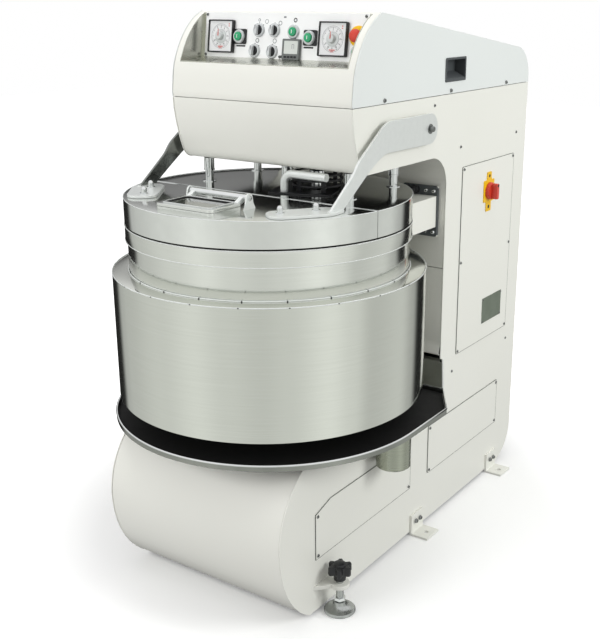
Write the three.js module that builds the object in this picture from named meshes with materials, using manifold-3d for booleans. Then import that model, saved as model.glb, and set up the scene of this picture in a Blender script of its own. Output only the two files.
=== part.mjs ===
// Floor-standing spiral dough mixer: fixed bowl that turns, spiral tool, hinged front lid.
// Millimetres, +Z up. The origin is on the floor under the middle of the machine's outline.
// +X is the machine's right side, -Y is its front (the nose under the bowl).
import * as THREE from 'three';
import { mergeVertices } from 'three/addons/utils/BufferGeometryUtils.js';
import Module from 'manifold-3d';

const wasm = await Module();
wasm.setup();

const radians = THREE.MathUtils.degToRad;

// ---------------------------------------------------------------- driving dimensions
const GAP = 0.3;                 // clearance between pieces that touch on the real machine
const ROUND = 48;                // facets round the bowl, its skirt and the lids
const HALF_WIDTH = 330;          // body half width, outside the side plates
const SIDE_PLATE = 4;            // side plate thickness
const SHEET = 3;                 // thickness of the bent covers
const INNER_HALF = HALF_WIDTH - SIDE_PLATE - GAP;

const REAR_Y = 797;              // back of the column
const COLUMN_FRONT_Y = 193;
const BASE_BOTTOM_Z = 12;
const DECK_Z = 522;              // top of the base
const PANEL_SEAM_Z = 905;        // joint between the two column front panels
const UNDERSIDE_Z = 1282;        // underside of the head
const HOOD_SEAM_Z = 1472;        // joint between the head and its top cover
const HOOD_BOTTOM_Z = 1473.5;
const THROAT_RADIUS = 100;       // inner corner between column and head
const HEEL_RADIUS = 130;         // lower rear corner

const NOSE = { y: -454, z: 280, radius: 264, lower: 304 };
const BOWL = {
  y: -310, radius: 424, wall: 3, rimRadius: 430, bandZ: 1081, rimZ: 1128, bottomZ: 640,
  cornerRadius: 62, skirtRadius: 475, skirtBottomZ: 599, skirtTopZ: 985, shoulderZ: 989,
};
const LID = { radius: 430, bottomZ: 1133, topZ: 1208, plate: 4, wall: 3.5, splitY: -377 };
const LID_PIVOT = { y: 35, z: 1382 };
const ARM = { inner: 345, thickness: 8 };
const LID_HOLE_Z = [1190, 1240]; // height range of the tools that cut holes through the lids
const HATCH = {
  xLow: -87, xHigh: 117, yLow: -708, yHigh: -575, rim: 20, corner: 16, inner: 12,
  collarZ: 1220, flap: 10, rodY: -556, rodZ: 1238, rod: 7.5, pin: 5,
};
const POST = { x: 265, y: [-275, -32], slim: 13, thick: 16, stepZ: 1243 };
const SUPPORT = { xLow: 180, xHigh: 300, zLow: 1045, zHigh: 1147, wall: 3, reachY: -60 };
const SPIRAL = {
  x: 104, y: -206, shaft: 22, bar: 19, reach: 141, topZ: 1080, bottomZ: 676, shaftZ: 1060, turns: 1.4,
};
const BREAKER = { x: -72, y: -124, radius: 18, bottomZ: 668 };
const TRAY = { radius: 500, y: -297, sideY: -76, rearX: 412, rearY: 66, floorZ: 522.3, lipZ: 540 };
const RAMP = { topX: 342, topY: 190, topZ: 590 };
const ROLLER = { x: 390, y: -211, radius: 54, wall: 4, bottomZ: 372 };
const GUARD = { lean: 18.5, radius: 78, ring: 6, bars: 6, ringZ: [1222, 1234, 1246, 1259] };
const PIPE = { x: 52, y: -304, radius: 12, bend: 22, lowZ: 1196, z: 1266, endX: 205 };
const BOWL_DRIVE = {
  pulleyRadius: 160, shaft: 30, flange: 110, motorRadius: 40, motorY: 400, beltZ: 215, beltHeight: 40,
};
const SPIRAL_DRIVE = { pulleyRadius: 60, motorRadius: 45, motorY: 330, beltZ: 1395, beltHeight: 40 };
const WHEEL = { radius: 50, z: 51, x: 277, width: 30, y: [-430, 560], bore: 10.6, axle: 10 };
const JACK = {
  x: 378, y: -490, pad: 48.5, spindle: 11.5, top: 150, bracketZ: 85, bracketTop: 98, knobZ: 126, knobTop: 156,
};
const ANCHOR = {
  y: [8, 585], width: 80, height: 75, reach: 400, thickness: 8, chamfer: 14, holeX: 373, hole: 9,
};
const GRIP = { yLow: 164, yHigh: 294, zLow: 1513, zHigh: 1581, depth: 38, wall: 3, flange: 6 };
const DOOR = { yLow: 302, yHigh: 701, zLow: 572, zHigh: 1228 };
const REAR_PANEL = { yLow: 119, yHigh: 655, zLow: 190, zHigh: 366 };
const COVER_CORNER = 6;          // corner radius of the door and the rear panel
const SWITCH = { y: 515, z: 1120, base: 26, grip: 24, plate: 28 };
const HEAD_PLATE_Z = 1300;       // underside of the plate that carries the spiral's bearing

// The control panel leans back from its lower edge; its own frame has X across and Y up the panel.
const PANEL = {
  halfWidth: 305, y: -242, z: 1586, lean: radians(8), height: 139, ledge: 98, drop: 10, sheet: 2.5,
};
const BUTTONS = { left: [-156, 63], reset: [42, 80], right: [102, 64], start: [265, 27] };
const SELECTORS = { a: [-85, 83], b: [-28, 83], c: [-98, 23], d: [-32, 22] };
const TIMERS = { left: [-225, 62], right: [186, 62] };
const EMERGENCY_STOP = [266, 72];
const TIMER = { half: 48, frame: 5, depth: 14, recess: 9 };
const DISPLAY = { x: 42, y: 30, width: 60, height: 56, depth: 9 };

// ---------------------------------------------------------------- materials
const finishes = {
  paint: [0xeeeee8, 0.35, 0.0],
  steel: [0xc4c4bc, 0.3, 1.0],
  polished: [0xb9b9b2, 0.12, 1.0],
  black: [0x16171a, 0.45, 0.0],
  grey: [0x4a4d50, 0.5, 0.0],
  cast: [0x5d6163, 0.6, 0.4],
  glass: [0x5c6160, 0.1, 0.0],
  green: [0x0f9a62, 0.25, 0.0],
  red: [0xd0332a, 0.35, 0.0],
  silver: [0xb0b2b2, 0.3, 0.8],
};

function finish(name) {
  const [color, roughness, metalness] = finishes[name];
  return new THREE.MeshStandardMaterial({ color, roughness, metalness });
}

// ---------------------------------------------------------------- geometry helpers
const vec2 = (x, y) => new THREE.Vector2(x, y);
const sideBasis = new THREE.Matrix4().makeBasis(
  new THREE.Vector3(0, 1, 0),
  new THREE.Vector3(0, 0, 1),
  new THREE.Vector3(1, 0, 0),
);

// Extrudes an outline drawn in side view (y, z) from one x to another.
function sideExtrude(shape, xLow, xHigh, curveSegments = 10) {
  const settings = { depth: xHigh - xLow, bevelEnabled: false, curveSegments };
  return new THREE.ExtrudeGeometry(shape, settings).applyMatrix4(sideBasis).translate(xLow, 0, 0);
}

// Extrudes an outline drawn in plan view (x, y) from one z to another.
function planExtrude(shape, zLow, zHigh, curveSegments = 8) {
  const settings = { depth: zHigh - zLow, bevelEnabled: false, curveSegments };
  return new THREE.ExtrudeGeometry(shape, settings).translate(0, 0, zLow);
}

// Revolves a profile of (radius, z) points about the vertical axis through (x, y).
function lathe(profile, x, y, segments = 24) {
  const points = profile.map(([radius, z]) => vec2(radius, z));
  if (THREE.ShapeUtils.area(points) < 0) points.reverse();
  if (profile[0][0] > 0) points.push(points[0].clone());
  return new THREE.LatheGeometry(points, segments).rotateX(Math.PI / 2).translate(x, y, 0);
}

function box(xLow, xHigh, yLow, yHigh, zLow, zHigh) {
  const geometry = new THREE.BoxGeometry(xHigh - xLow, yHigh - yLow, zHigh - zLow);
  return geometry.translate((xLow + xHigh) / 2, (yLow + yHigh) / 2, (zLow + zHigh) / 2);
}

function uprightRod(radius, x, y, zLow, zHigh, segments = 16) {
  const geometry = new THREE.CylinderGeometry(radius, radius, zHigh - zLow, segments);
  return geometry.rotateX(Math.PI / 2).translate(x, y, (zLow + zHigh) / 2);
}

function crossRod(radius, xLow, xHigh, y, z, segments = 16) {
  const geometry = new THREE.CylinderGeometry(radius, radius, xHigh - xLow, segments);
  return geometry.rotateZ(Math.PI / 2).translate((xLow + xHigh) / 2, y, z);
}

function toSolid(geometry) {
  const bare = geometry.clone();
  bare.deleteAttribute('normal');
  bare.deleteAttribute('uv');
  const merged = mergeVertices(bare, 1e-3);
  const index = merged.index.array;
  const triangles = [];
  for (let i = 0; i < index.length; i += 3) {
    const [a, b, c] = [index[i], index[i + 1], index[i + 2]];
    if (a !== b && b !== c && c !== a) triangles.push(a, b, c);
  }
  const vertProperties = Float32Array.from(merged.attributes.position.array);
  const triVerts = Uint32Array.from(triangles);
  return new wasm.Manifold(new wasm.Mesh({ numProp: 3, vertProperties, triVerts }));
}

function fromSolid(solid) {
  const mesh = solid.getMesh();
  const geometry = new THREE.BufferGeometry();
  geometry.setAttribute('position', new THREE.BufferAttribute(mesh.vertProperties, 3));
  geometry.setIndex(new THREE.BufferAttribute(mesh.triVerts, 1));
  return geometry;
}

function join(...geometries) {
  return fromSolid(geometries.map(toSolid).reduce((whole, piece) => whole.add(piece)));
}

function cut(geometry, ...tools) {
  return fromSolid(tools.map(toSolid).reduce((whole, tool) => whole.subtract(tool), toSolid(geometry)));
}

function common(geometry, other) {
  return fromSolid(toSolid(geometry).intersect(toSolid(other)));
}

// Moves an open path sideways by a distance, to the left of its direction of travel.
function offsetPath(points, distance) {
  return points.map((point, i) => {
    const before = points[Math.max(i - 1, 0)];
    const after = points[Math.min(i + 1, points.length - 1)];
    const into = (i > 0 ? point.clone().sub(before) : after.clone().sub(point)).normalize();
    const out = (i < points.length - 1 ? after.clone().sub(point) : into.clone()).normalize();
    const normal = vec2(-into.y - out.y, into.x + out.x).normalize();
    return point.clone().addScaledVector(normal, distance / normal.dot(vec2(-into.y, into.x)));
  });
}

// Outline of a sheet that follows a path, with its thickness on the left of the path.
function sheetOutline(points, thickness) {
  return new THREE.Shape([...points, ...offsetPath(points, thickness).reverse()]);
}

function arc(cx, cy, radius, fromDegrees, toDegrees, steps = 8) {
  const points = [];
  for (let i = 0; i <= steps; i++) {
    const angle = radians(fromDegrees + (toDegrees - fromDegrees) * i / steps);
    points.push(vec2(cx + radius * Math.cos(angle), cy + radius * Math.sin(angle)));
  }
  return points;
}

function roundedRectangle(xLow, xHigh, yLow, yHigh, radius) {
  return new THREE.Shape([
    ...arc(xLow + radius, yLow + radius, radius, 180, 270, 4),
    ...arc(xHigh - radius, yLow + radius, radius, 270, 360, 4),
    ...arc(xHigh - radius, yHigh - radius, radius, 0, 90, 4),
    ...arc(xLow + radius, yHigh - radius, radius, 90, 180, 4),
  ]);
}

// Mirrors a geometry to the machine's left side and keeps its faces pointing out.
function mirrored(geometry) {
  const flipped = geometry.index ? geometry.toNonIndexed() : geometry.clone();
  const position = flipped.attributes.position;
  for (let i = 0; i < position.count; i += 3) {
    const [x1, y1, z1] = [position.getX(i + 1), position.getY(i + 1), position.getZ(i + 1)];
    position.setXYZ(i, -position.getX(i), position.getY(i), position.getZ(i));
    position.setXYZ(i + 1, -position.getX(i + 2), position.getY(i + 2), position.getZ(i + 2));
    position.setXYZ(i + 2, -x1, y1, z1);
  }
  flipped.deleteAttribute('normal');
  return flipped;
}

// ---------------------------------------------------------------- body outlines (y, z)
// The nose: a round upper half and a slightly longer lower half, from the deck down to the bottom.
function nosePath() {
  const topAngle = Math.asin((DECK_Z - NOSE.z) / NOSE.radius);
  const lowAngle = -Math.asin((NOSE.z - BASE_BOTTOM_Z) / NOSE.lower);
  const steps = 16;
  const points = [];
  for (let i = 0; i <= steps; i++) {
    const angle = topAngle + (lowAngle - topAngle) * i / steps;
    const height = angle > 0 ? NOSE.radius : NOSE.lower;
    points.push(vec2(NOSE.y - NOSE.radius * Math.cos(angle), NOSE.z + height * Math.sin(angle)));
  }
  return points;
}

// The head's front: down from the hood seam, curving under to the flat underside.
function headFrontPath() {
  const face = new THREE.CubicBezierCurve(
    vec2(-359, HOOD_SEAM_Z), vec2(-359, 1420), vec2(-342, 1362), vec2(-326, 1320),
  ).getPoints(6);
  const chin = new THREE.QuadraticBezierCurve(
    vec2(-326, 1320), vec2(-313, UNDERSIDE_Z), vec2(-280, UNDERSIDE_Z),
  ).getPoints(5);
  return [...face, ...chin.slice(1)];
}

// The hood: up its bulging front, back along the sloping top and down over the rear corner.
function hoodPath() {
  const front = new THREE.SplineCurve([
    vec2(-359, HOOD_BOTTOM_Z), vec2(-359, 1499), vec2(-346, 1575), vec2(-307, 1648),
    vec2(-258, 1698), vec2(-213, 1723),
  ]).getPoints(14);
  const rearRadius = 110;
  const rear = arc(REAR_Y - rearRadius, 1600 - rearRadius, rearRadius, 82, 0, 8);
  return [...front, vec2(508, 1625), ...rear, vec2(REAR_Y, HOOD_BOTTOM_Z)];
}

function throatPath() {
  return arc(COLUMN_FRONT_Y - THROAT_RADIUS, UNDERSIDE_Z - THROAT_RADIUS, THROAT_RADIUS, 90, 0, 8);
}

function heelPath() {
  return arc(REAR_Y - HEEL_RADIUS, BASE_BOTTOM_Z + HEEL_RADIUS, HEEL_RADIUS, 270, 360, 8);
}

// ---------------------------------------------------------------- body pieces
// An L-shaped floor anchor: a bolted upright and a foot with a hole for the floor bolt.
function floorAnchor(y) {
  const a = ANCHOR;
  const far = y + a.width;
  const upright = box(HALF_WIDTH - 1, HALF_WIDTH + a.thickness, y, far, 0, a.height);
  const outline = new THREE.Shape([
    vec2(HALF_WIDTH - 1, y), vec2(a.reach - a.chamfer, y), vec2(a.reach, y + a.chamfer),
    vec2(a.reach, far - a.chamfer), vec2(a.reach - a.chamfer, far), vec2(HALF_WIDTH - 1, far),
  ]);
  outline.holes.push(new THREE.Path().absarc(a.holeX, y + a.width / 2, a.hole, 0, Math.PI * 2, true));
  return join(upright, planExtrude(outline, 0, a.thickness, 6));
}

// The bracket that the jack's spindle runs through.
function jackBracket() {
  const outline = new THREE.Shape([
    vec2(HALF_WIDTH - 1, -560), vec2(JACK.x - 12, JACK.y - 28),
    ...arc(JACK.x, JACK.y, 30, -110, 90, 10), vec2(HALF_WIDTH - 1, JACK.y + 30),
  ]);
  outline.holes.push(new THREE.Path().absarc(JACK.x, JACK.y, JACK.spindle + 1, 0, Math.PI * 2, true));
  return planExtrude(outline, JACK.bracketZ, JACK.bracketTop);
}

// One C-shaped plate covers the base, the column and the head's lower half.
function sidePlate() {
  const outline = new THREE.Shape([
    ...nosePath(), ...heelPath(), vec2(REAR_Y, HOOD_SEAM_Z), ...headFrontPath(), ...throatPath(),
    vec2(COLUMN_FRONT_Y, DECK_Z),
  ]);
  const plate = sideExtrude(outline, HALF_WIDTH - SIDE_PLATE, HALF_WIDTH);
  return join(plate, jackBracket(), ...ANCHOR.y.map(floorAnchor));
}

function noseCover() {
  return sideExtrude(sheetOutline(nosePath(), SHEET), -INNER_HALF, INNER_HALF);
}

function headFrontShell() {
  const path = [...headFrontPath(), vec2(COLUMN_FRONT_Y - THROAT_RADIUS - GAP, UNDERSIDE_Z)];
  const shell = sideExtrude(sheetOutline(path, SHEET), -INNER_HALF, INNER_HALF);
  return cut(shell, uprightRod(SPIRAL.shaft + 8, SPIRAL.x, SPIRAL.y, UNDERSIDE_Z - 5, UNDERSIDE_Z + 10));
}

function columnFrontUpper() {
  const path = [...throatPath(), vec2(COLUMN_FRONT_Y, PANEL_SEAM_Z + 1)];
  return sideExtrude(sheetOutline(path, SHEET), -INNER_HALF, INNER_HALF);
}

// Below its bend this panel leans forward over the tray's ramp and ends in a return.
function columnFrontLower() {
  const path = [
    vec2(COLUMN_FRONT_Y, PANEL_SEAM_Z - 1), vec2(COLUMN_FRONT_Y, 640), vec2(181, 602), vec2(198, 598),
  ];
  return sideExtrude(sheetOutline(path, SHEET), -INNER_HALF, INNER_HALF);
}

function columnRearCover() {
  const path = [...heelPath(), vec2(REAR_Y, HOOD_SEAM_Z)];
  return sideExtrude(sheetOutline(path, SHEET), -INNER_HALF, INNER_HALF);
}

// The hood is a deep shell, open below, with an opening for the control panel and two for the grips.
function topCover() {
  const path = hoodPath();
  const inner = offsetPath(path, -SHEET);
  const hollow = new THREE.Shape([
    vec2(inner[0].x, HOOD_BOTTOM_Z - 5), ...inner, vec2(inner.at(-1).x, HOOD_BOTTOM_Z - 5),
  ]);
  const panelOpening = new THREE.Shape([
    vec2(-420, PANEL.z - PANEL.drop), vec2(PANEL.y - PANEL.ledge, PANEL.z - PANEL.drop),
    vec2(PANEL.y, PANEL.z), panelTop(), vec2(panelTop().x + 4, 1760), vec2(-420, 1760),
  ]);
  const g = GRIP;
  return cut(
    sideExtrude(new THREE.Shape(path), -HALF_WIDTH, HALF_WIDTH),
    sideExtrude(hollow, -HALF_WIDTH + SHEET, HALF_WIDTH - SHEET),
    sideExtrude(panelOpening, -PANEL.halfWidth, PANEL.halfWidth),
    box(-HALF_WIDTH - 1, HALF_WIDTH + 1, g.yLow, g.yHigh, g.zLow, g.zHigh),
  );
}

// A moulded finger cup let into the hood's side.
function grip() {
  const g = GRIP;
  const cup = box(
    HALF_WIDTH - g.depth, HALF_WIDTH + 1,
    g.yLow + GAP, g.yHigh - GAP, g.zLow + GAP, g.zHigh - GAP,
  );
  const flange = box(
    HALF_WIDTH + GAP, HALF_WIDTH + 2.5,
    g.yLow - g.flange, g.yHigh + g.flange, g.zLow - g.flange, g.zHigh + g.flange,
  );
  const pocket = box(
    HALF_WIDTH - g.depth + g.wall, HALF_WIDTH + 5,
    g.yLow + g.wall, g.yHigh - g.wall, g.zLow + g.wall, g.zHigh - g.wall,
  );
  return cut(join(cup, flange), pocket);
}

// ---------------------------------------------------------------- inner frames and drives
function baseFrame() {
  const rail = { inner: 235, outer: 241 };
  const rearEnd = 640;
  const well = { x: 20, y: 54 };
  const bottom = box(-INNER_HALF, INNER_HALF, -560, rearEnd, BASE_BOTTOM_Z + 1, BASE_BOTTOM_Z + 6);
  const deck = box(-INNER_HALF, INNER_HALF, -554, 780, DECK_Z - 5, DECK_Z - 0.5);
  const railShapes = [-1, 1].map((side) => box(
    Math.min(side * rail.inner, side * rail.outer), Math.max(side * rail.inner, side * rail.outer),
    -500, rearEnd, BASE_BOTTOM_Z + 5, DECK_Z - 4,
  ));
  const slots = [];
  const axles = [];
  for (const side of [-1, 1]) {
    for (const y of WHEEL.y) {
      const near = side * rail.outer - side;
      const far = side * (WHEEL.x + WHEEL.width / 2 + 6);
      axles.push(crossRod(WHEEL.axle, Math.min(near, far), Math.max(near, far), y, WHEEL.z, 20));
      const x = side * WHEEL.x;
      slots.push(box(x - well.x, x + well.x, y - well.y, y + well.y, 0, BASE_BOTTOM_Z + 18));
    }
  }
  const housing = uprightRod(70, 0, BOWL.y, 300, DECK_Z - 4, 24);
  const bore = uprightRod(30.4, 0, BOWL.y, 290, DECK_Z + 4, 24);
  return cut(join(cut(bottom, ...slots), deck, ...railShapes, housing, ...axles), bore);
}

// Two portal legs carry the head plate, which holds the spiral's bearing housing.
function headFrame() {
  const leg = { inner: 262, outer: 318 };
  const plate = box(-leg.outer, leg.outer, -262, 470, HEAD_PLATE_Z, HEAD_PLATE_Z + 12);
  const legs = [-1, 1].map((side) => box(
    Math.min(side * leg.inner, side * leg.outer), Math.max(side * leg.inner, side * leg.outer),
    300, 380, DECK_Z + GAP, HEAD_PLATE_Z + 6,
  ));
  const housing = uprightRod(52, SPIRAL.x, SPIRAL.y, 1290, 1388, 24);
  const bore = uprightRod(SPIRAL.shaft + 0.4, SPIRAL.x, SPIRAL.y, 1280, 1392, 24);
  const motorHole = uprightRod(22, SPIRAL.x, SPIRAL_DRIVE.motorY, 1290, 1320, 20);
  return cut(join(plate, ...legs, housing), bore, motorHole);
}

// A gear motor hung by its square flange.
function gearMotor(x, y, flangeZ, radius, length) {
  const reach = radius + 10;
  const body = uprightRod(radius, x, y, flangeZ - length, flangeZ, 20);
  const flange = box(x - reach, x + reach, y - reach, y + reach, flangeZ - 14, flangeZ);
  return join(body, flange);
}

function pulleyProfile(radius, shaft, zLow, height, shaftLow, shaftHigh) {
  const lip = 5;
  const profile = [[0, shaftLow]];
  if (shaftLow < zLow) profile.push([shaft, shaftLow], [shaft, zLow]);
  profile.push([radius + lip, zLow], [radius + lip, zLow + 4], [radius, zLow + 8]);
  profile.push([radius, zLow + height - 8], [radius + lip, zLow + height - 4]);
  profile.push([radius + lip, zLow + height]);
  if (shaftHigh > zLow + height) profile.push([shaft, zLow + height], [shaft, shaftHigh]);
  profile.push([0, shaftHigh]);
  return profile;
}

// ---------------------------------------------------------------- bowl and tray
function bowlVessel() {
  const b = BOWL;
  const inner = b.radius - b.wall;
  const outerCorner = arc(b.radius - b.cornerRadius, b.bottomZ + b.cornerRadius, b.cornerRadius, 270, 360, 3);
  const innerCorner = arc(
    inner - b.cornerRadius + b.wall, b.bottomZ + b.cornerRadius, b.cornerRadius - b.wall,
    360, 270, 3,
  );
  const profile = [
    [0, b.bottomZ], ...outerCorner.map((p) => [p.x, p.y]),
    [b.radius, b.bandZ], [b.rimRadius, b.bandZ], [b.rimRadius, b.rimZ], [inner, b.rimZ],
    ...innerCorner.map((p) => [p.x, p.y]), [0, b.bottomZ + b.wall],
  ];
  return lathe(profile, 0, b.y, ROUND);
}

function bowlSkirt() {
  const b = BOWL;
  const seat = b.radius + GAP;
  return lathe([
    [b.skirtRadius - SHEET, b.skirtBottomZ], [b.skirtRadius, b.skirtBottomZ], [b.skirtRadius, b.skirtTopZ],
    [seat, b.shoulderZ], [seat, b.shoulderZ - SHEET], [b.skirtRadius - SHEET, b.skirtTopZ - SHEET],
  ], 0, b.y, ROUND);
}

// The bowl's shaft: a belt pulley below and a conical flange that carries the bowl on top.
function bowlShaft() {
  const d = BOWL_DRIVE;
  const top = BOWL.bottomZ - GAP;
  const neck = BOWL.bottomZ - 30;
  const profile = pulleyProfile(d.pulleyRadius, d.shaft, d.beltZ, d.beltHeight, d.beltZ, neck);
  profile.pop();
  profile.push([d.flange, BOWL.bottomZ - 14], [d.flange, top], [0, top]);
  return lathe(profile, 0, BOWL.y);
}

// Tray outline in plan, drawn a distance inside its outer edge.
function trayOutline(inset) {
  const t = TRAY;
  const radius = t.radius - inset;
  const rearX = t.rearX - inset * 0.8;
  const rearY = t.rearY - inset;
  return new THREE.Shape([
    ...arc(0, t.y, radius, 180, 360, 32), vec2(radius, t.sideY), vec2(rearX, rearY),
    vec2(-rearX, rearY), vec2(-radius, t.sideY),
  ]);
}

// A shallow pan with an upstand all round and a ramp at the rear, up to the column.
function dripTray() {
  const t = TRAY;
  const r = RAMP;
  const pan = cut(
    planExtrude(trayOutline(0), t.floorZ, t.lipZ),
    planExtrude(trayOutline(SHEET), t.floorZ + SHEET, t.lipZ + 5),
    uprightRod(80, 0, BOWL.y, t.floorZ - 5, t.lipZ, 32),
  );
  const slope = sheetOutline([vec2(t.rearY - SHEET, t.lipZ - SHEET), vec2(r.topY, r.topZ - SHEET)], SHEET);
  const footprint = new THREE.Shape([
    vec2(-t.rearX, t.rearY - 5), vec2(t.rearX, t.rearY - 5), vec2(t.rearX, t.rearY),
    vec2(r.topX, r.topY + 5), vec2(-r.topX, r.topY + 5), vec2(-t.rearX, t.rearY),
  ]);
  const ramp = common(sideExtrude(slope, -t.rearX, t.rearX), planExtrude(footprint, t.floorZ, r.topZ + 5));
  return join(pan, ramp);
}

// A cup under the tray, open at the top, that houses a support roller.
function rollerHousing() {
  const r = ROLLER;
  const inner = r.radius - r.wall;
  const top = TRAY.floorZ - GAP;
  return lathe([
    [0, r.bottomZ], [r.radius, r.bottomZ], [r.radius, top], [inner, top],
    [inner, r.bottomZ + r.wall], [0, r.bottomZ + r.wall],
  ], r.x, r.y, 18);
}

// ---------------------------------------------------------------- lids
function lidPan() {
  const l = LID;
  return lathe([
    [0, l.topZ - l.plate], [l.radius - l.wall, l.topZ - l.plate], [l.radius - l.wall, l.bottomZ],
    [l.radius, l.bottomZ], [l.radius, l.topZ], [0, l.topZ],
  ], 0, BOWL.y, ROUND);
}

function shaftHole() {
  return uprightRod(SPIRAL.shaft + 10, SPIRAL.x, SPIRAL.y, ...LID_HOLE_Z, 24);
}

function pipeHole() {
  return uprightRod(PIPE.radius + 1, PIPE.x, PIPE.y, ...LID_HOLE_Z, 20);
}

// The fixed part of the lid hangs from four stepped posts under the head.
function rearLid() {
  const p = POST;
  const low = LID.topZ - 2;
  const top = UNDERSIDE_Z - GAP;
  const half = common(lidPan(), box(-500, 500, LID.splitY + 0.5, 300, 1000, 1300));
  const posts = [];
  for (const x of [-p.x, p.x]) {
    for (const y of p.y) {
      posts.push(lathe([
        [0, low], [p.slim, low], [p.slim, p.stepZ], [p.thick, p.stepZ], [p.thick, top], [0, top],
      ], x, y, 12));
    }
  }
  const breakerHole = uprightRod(BREAKER.radius + 3, BREAKER.x, BREAKER.y, ...LID_HOLE_Z, 24);
  return cut(join(half, ...posts), shaftHole(), breakerHole, pipeHole());
}

// The hatch's outline in plan, drawn a distance inside its edge.
function hatchOutline(inset, corner) {
  const h = HATCH;
  return roundedRectangle(h.xLow + inset, h.xHigh - inset, h.yLow + inset, h.yHigh - inset, corner);
}

function hatchOpening() {
  return planExtrude(hatchOutline(HATCH.rim, HATCH.inner), HATCH.collarZ - 40, HATCH.collarZ + 40);
}

// An upright ear that carries one end of the hatch's hinge rod.
function hatchEar(xLow, xHigh) {
  const h = HATCH;
  const base = LID.topZ - 1;
  const ear = new THREE.Shape([
    vec2(h.rodY - 22, base), vec2(h.rodY + 22, base), vec2(h.rodY + 22, base + 20),
    ...arc(h.rodY, h.rodZ, 13, 30, 150, 6), vec2(h.rodY - 22, base + 20),
  ]);
  ear.holes.push(new THREE.Path().absarc(h.rodY, h.rodZ, h.pin + 0.5, 0, Math.PI * 2, true));
  return sideExtrude(ear, xLow, xHigh, 6);
}

function frontLid() {
  const h = HATCH;
  const half = common(lidPan(), box(-500, 500, -900, LID.splitY - 0.5, 1000, 1300));
  const collar = planExtrude(hatchOutline(0, h.corner), LID.topZ - 1, h.collarZ);
  const ears = [hatchEar(h.xLow - 7, h.xLow - 2), hatchEar(h.xHigh + 2, h.xHigh + 7)];
  return cut(join(half, collar, ...ears), hatchOpening());
}

function hatchFlap() {
  const h = HATCH;
  const low = h.collarZ + GAP;
  const top = low + h.flap;
  const plate = planExtrude(hatchOutline(0, h.corner), low, top);
  const rod = crossRod(h.rod, h.xLow - 1, h.xHigh + 1, h.rodY, h.rodZ, 12);
  const pins = [[h.xLow - 9, h.xLow], [h.xHigh, h.xHigh + 9]].map(
    ([xLow, xHigh]) => crossRod(h.pin, xLow, xHigh, h.rodY, h.rodZ, 8),
  );
  const lug = new THREE.Shape([
    vec2(h.yHigh - 12, low + 1), vec2(h.yHigh, low + 1), vec2(h.rodY + 6, h.rodZ - 4),
    vec2(h.rodY, h.rodZ + 7), vec2(h.yHigh - 12, top),
  ]);
  const lugs = [h.xLow + 6, h.xHigh - 14].map((x) => sideExtrude(lug, x, x + 8));
  return cut(join(plate, rod, ...pins, ...lugs), hatchOpening());
}

function hatchWindow() {
  const h = HATCH;
  return planExtrude(hatchOutline(h.rim + GAP, h.inner - GAP), h.collarZ + 2.5, h.collarZ + 7.5);
}

// A flat lifting arm from the head's side down to a foot plate bolted on the front lid.
function lidArm() {
  const p = LID_PIVOT;
  const low = LID.topZ + GAP;
  const outline = new THREE.Shape([
    ...arc(p.y, p.z, 47, -80, 78, 8), vec2(-205, 1427), vec2(-234, 1416), vec2(-362, 1330),
    vec2(-384, 1302), vec2(-509, low), vec2(-443, low), vec2(-419, 1224), vec2(-341, 1276),
    vec2(-288, 1309), vec2(-225, 1338),
  ]);
  const arm = sideExtrude(outline, ARM.inner, ARM.inner + ARM.thickness);
  const boss = crossRod(20, HALF_WIDTH + 1, ARM.inner + 1, p.y, p.z, 24);
  const foot = new THREE.Shape([
    vec2(366, -440), vec2(366, -512), vec2(281, -622), vec2(252, -632), vec2(214, -606),
    vec2(204, -575), vec2(300, -440),
  ]);
  return join(arm, boss, planExtrude(foot, low, low + ARM.thickness));
}

// A box beam from the column to the lid's rim, with its mounting flange.
function lidSupport() {
  const s = SUPPORT;
  const beam = box(s.xLow, s.xHigh, s.reachY, COLUMN_FRONT_Y - 4, s.zLow, s.zHigh);
  const hollow = box(
    s.xLow + s.wall, s.xHigh - s.wall, s.reachY - 20, COLUMN_FRONT_Y - 14, s.zLow + s.wall, s.zHigh - s.wall,
  );
  const clearance = uprightRod(LID.radius + 6, 0, BOWL.y, 1000, 1200, ROUND);
  const flange = box(s.xLow - 8, s.xHigh + 4, COLUMN_FRONT_Y - 8, COLUMN_FRONT_Y - GAP, 1012, 1178);
  return join(cut(beam, hollow, clearance), flange);
}

// ---------------------------------------------------------------- tools in the bowl
class SpiralCurve extends THREE.Curve {
  // Leaves the shaft, swings out to full reach, winds down and comes back under the shaft.
  getPoint(t) {
    const s = SPIRAL;
    const rise = THREE.MathUtils.smoothstep(t, 0, 0.2);
    const fall = 1 - THREE.MathUtils.smoothstep(t, 0.82, 1);
    const radius = s.reach * Math.sin(Math.PI / 2 * rise) * (0.12 + 0.88 * fall);
    const angle = s.turns * 2 * Math.PI * t;
    const z = s.topZ + (s.bottomZ - s.topZ) * THREE.MathUtils.smoothstep(t, -0.12, 0.9);
    return new THREE.Vector3(s.x + radius * Math.cos(angle), s.y + radius * Math.sin(angle), z);
  }
}

function roundSection(radius, sides) {
  return new THREE.Shape(arc(0, 0, radius, 0, 360 - 360 / sides, sides - 1));
}

function spiral() {
  const s = SPIRAL;
  const d = SPIRAL_DRIVE;
  const hook = new THREE.ExtrudeGeometry(roundSection(s.bar, 8), {
    steps: 36, bevelEnabled: false, extrudePath: new SpiralCurve(),
  });
  const top = d.beltZ + d.beltHeight;
  const profile = pulleyProfile(d.pulleyRadius, s.shaft, d.beltZ, d.beltHeight, s.shaftZ, top);
  return join(hook, lathe(profile, s.x, s.y, 20));
}

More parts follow.
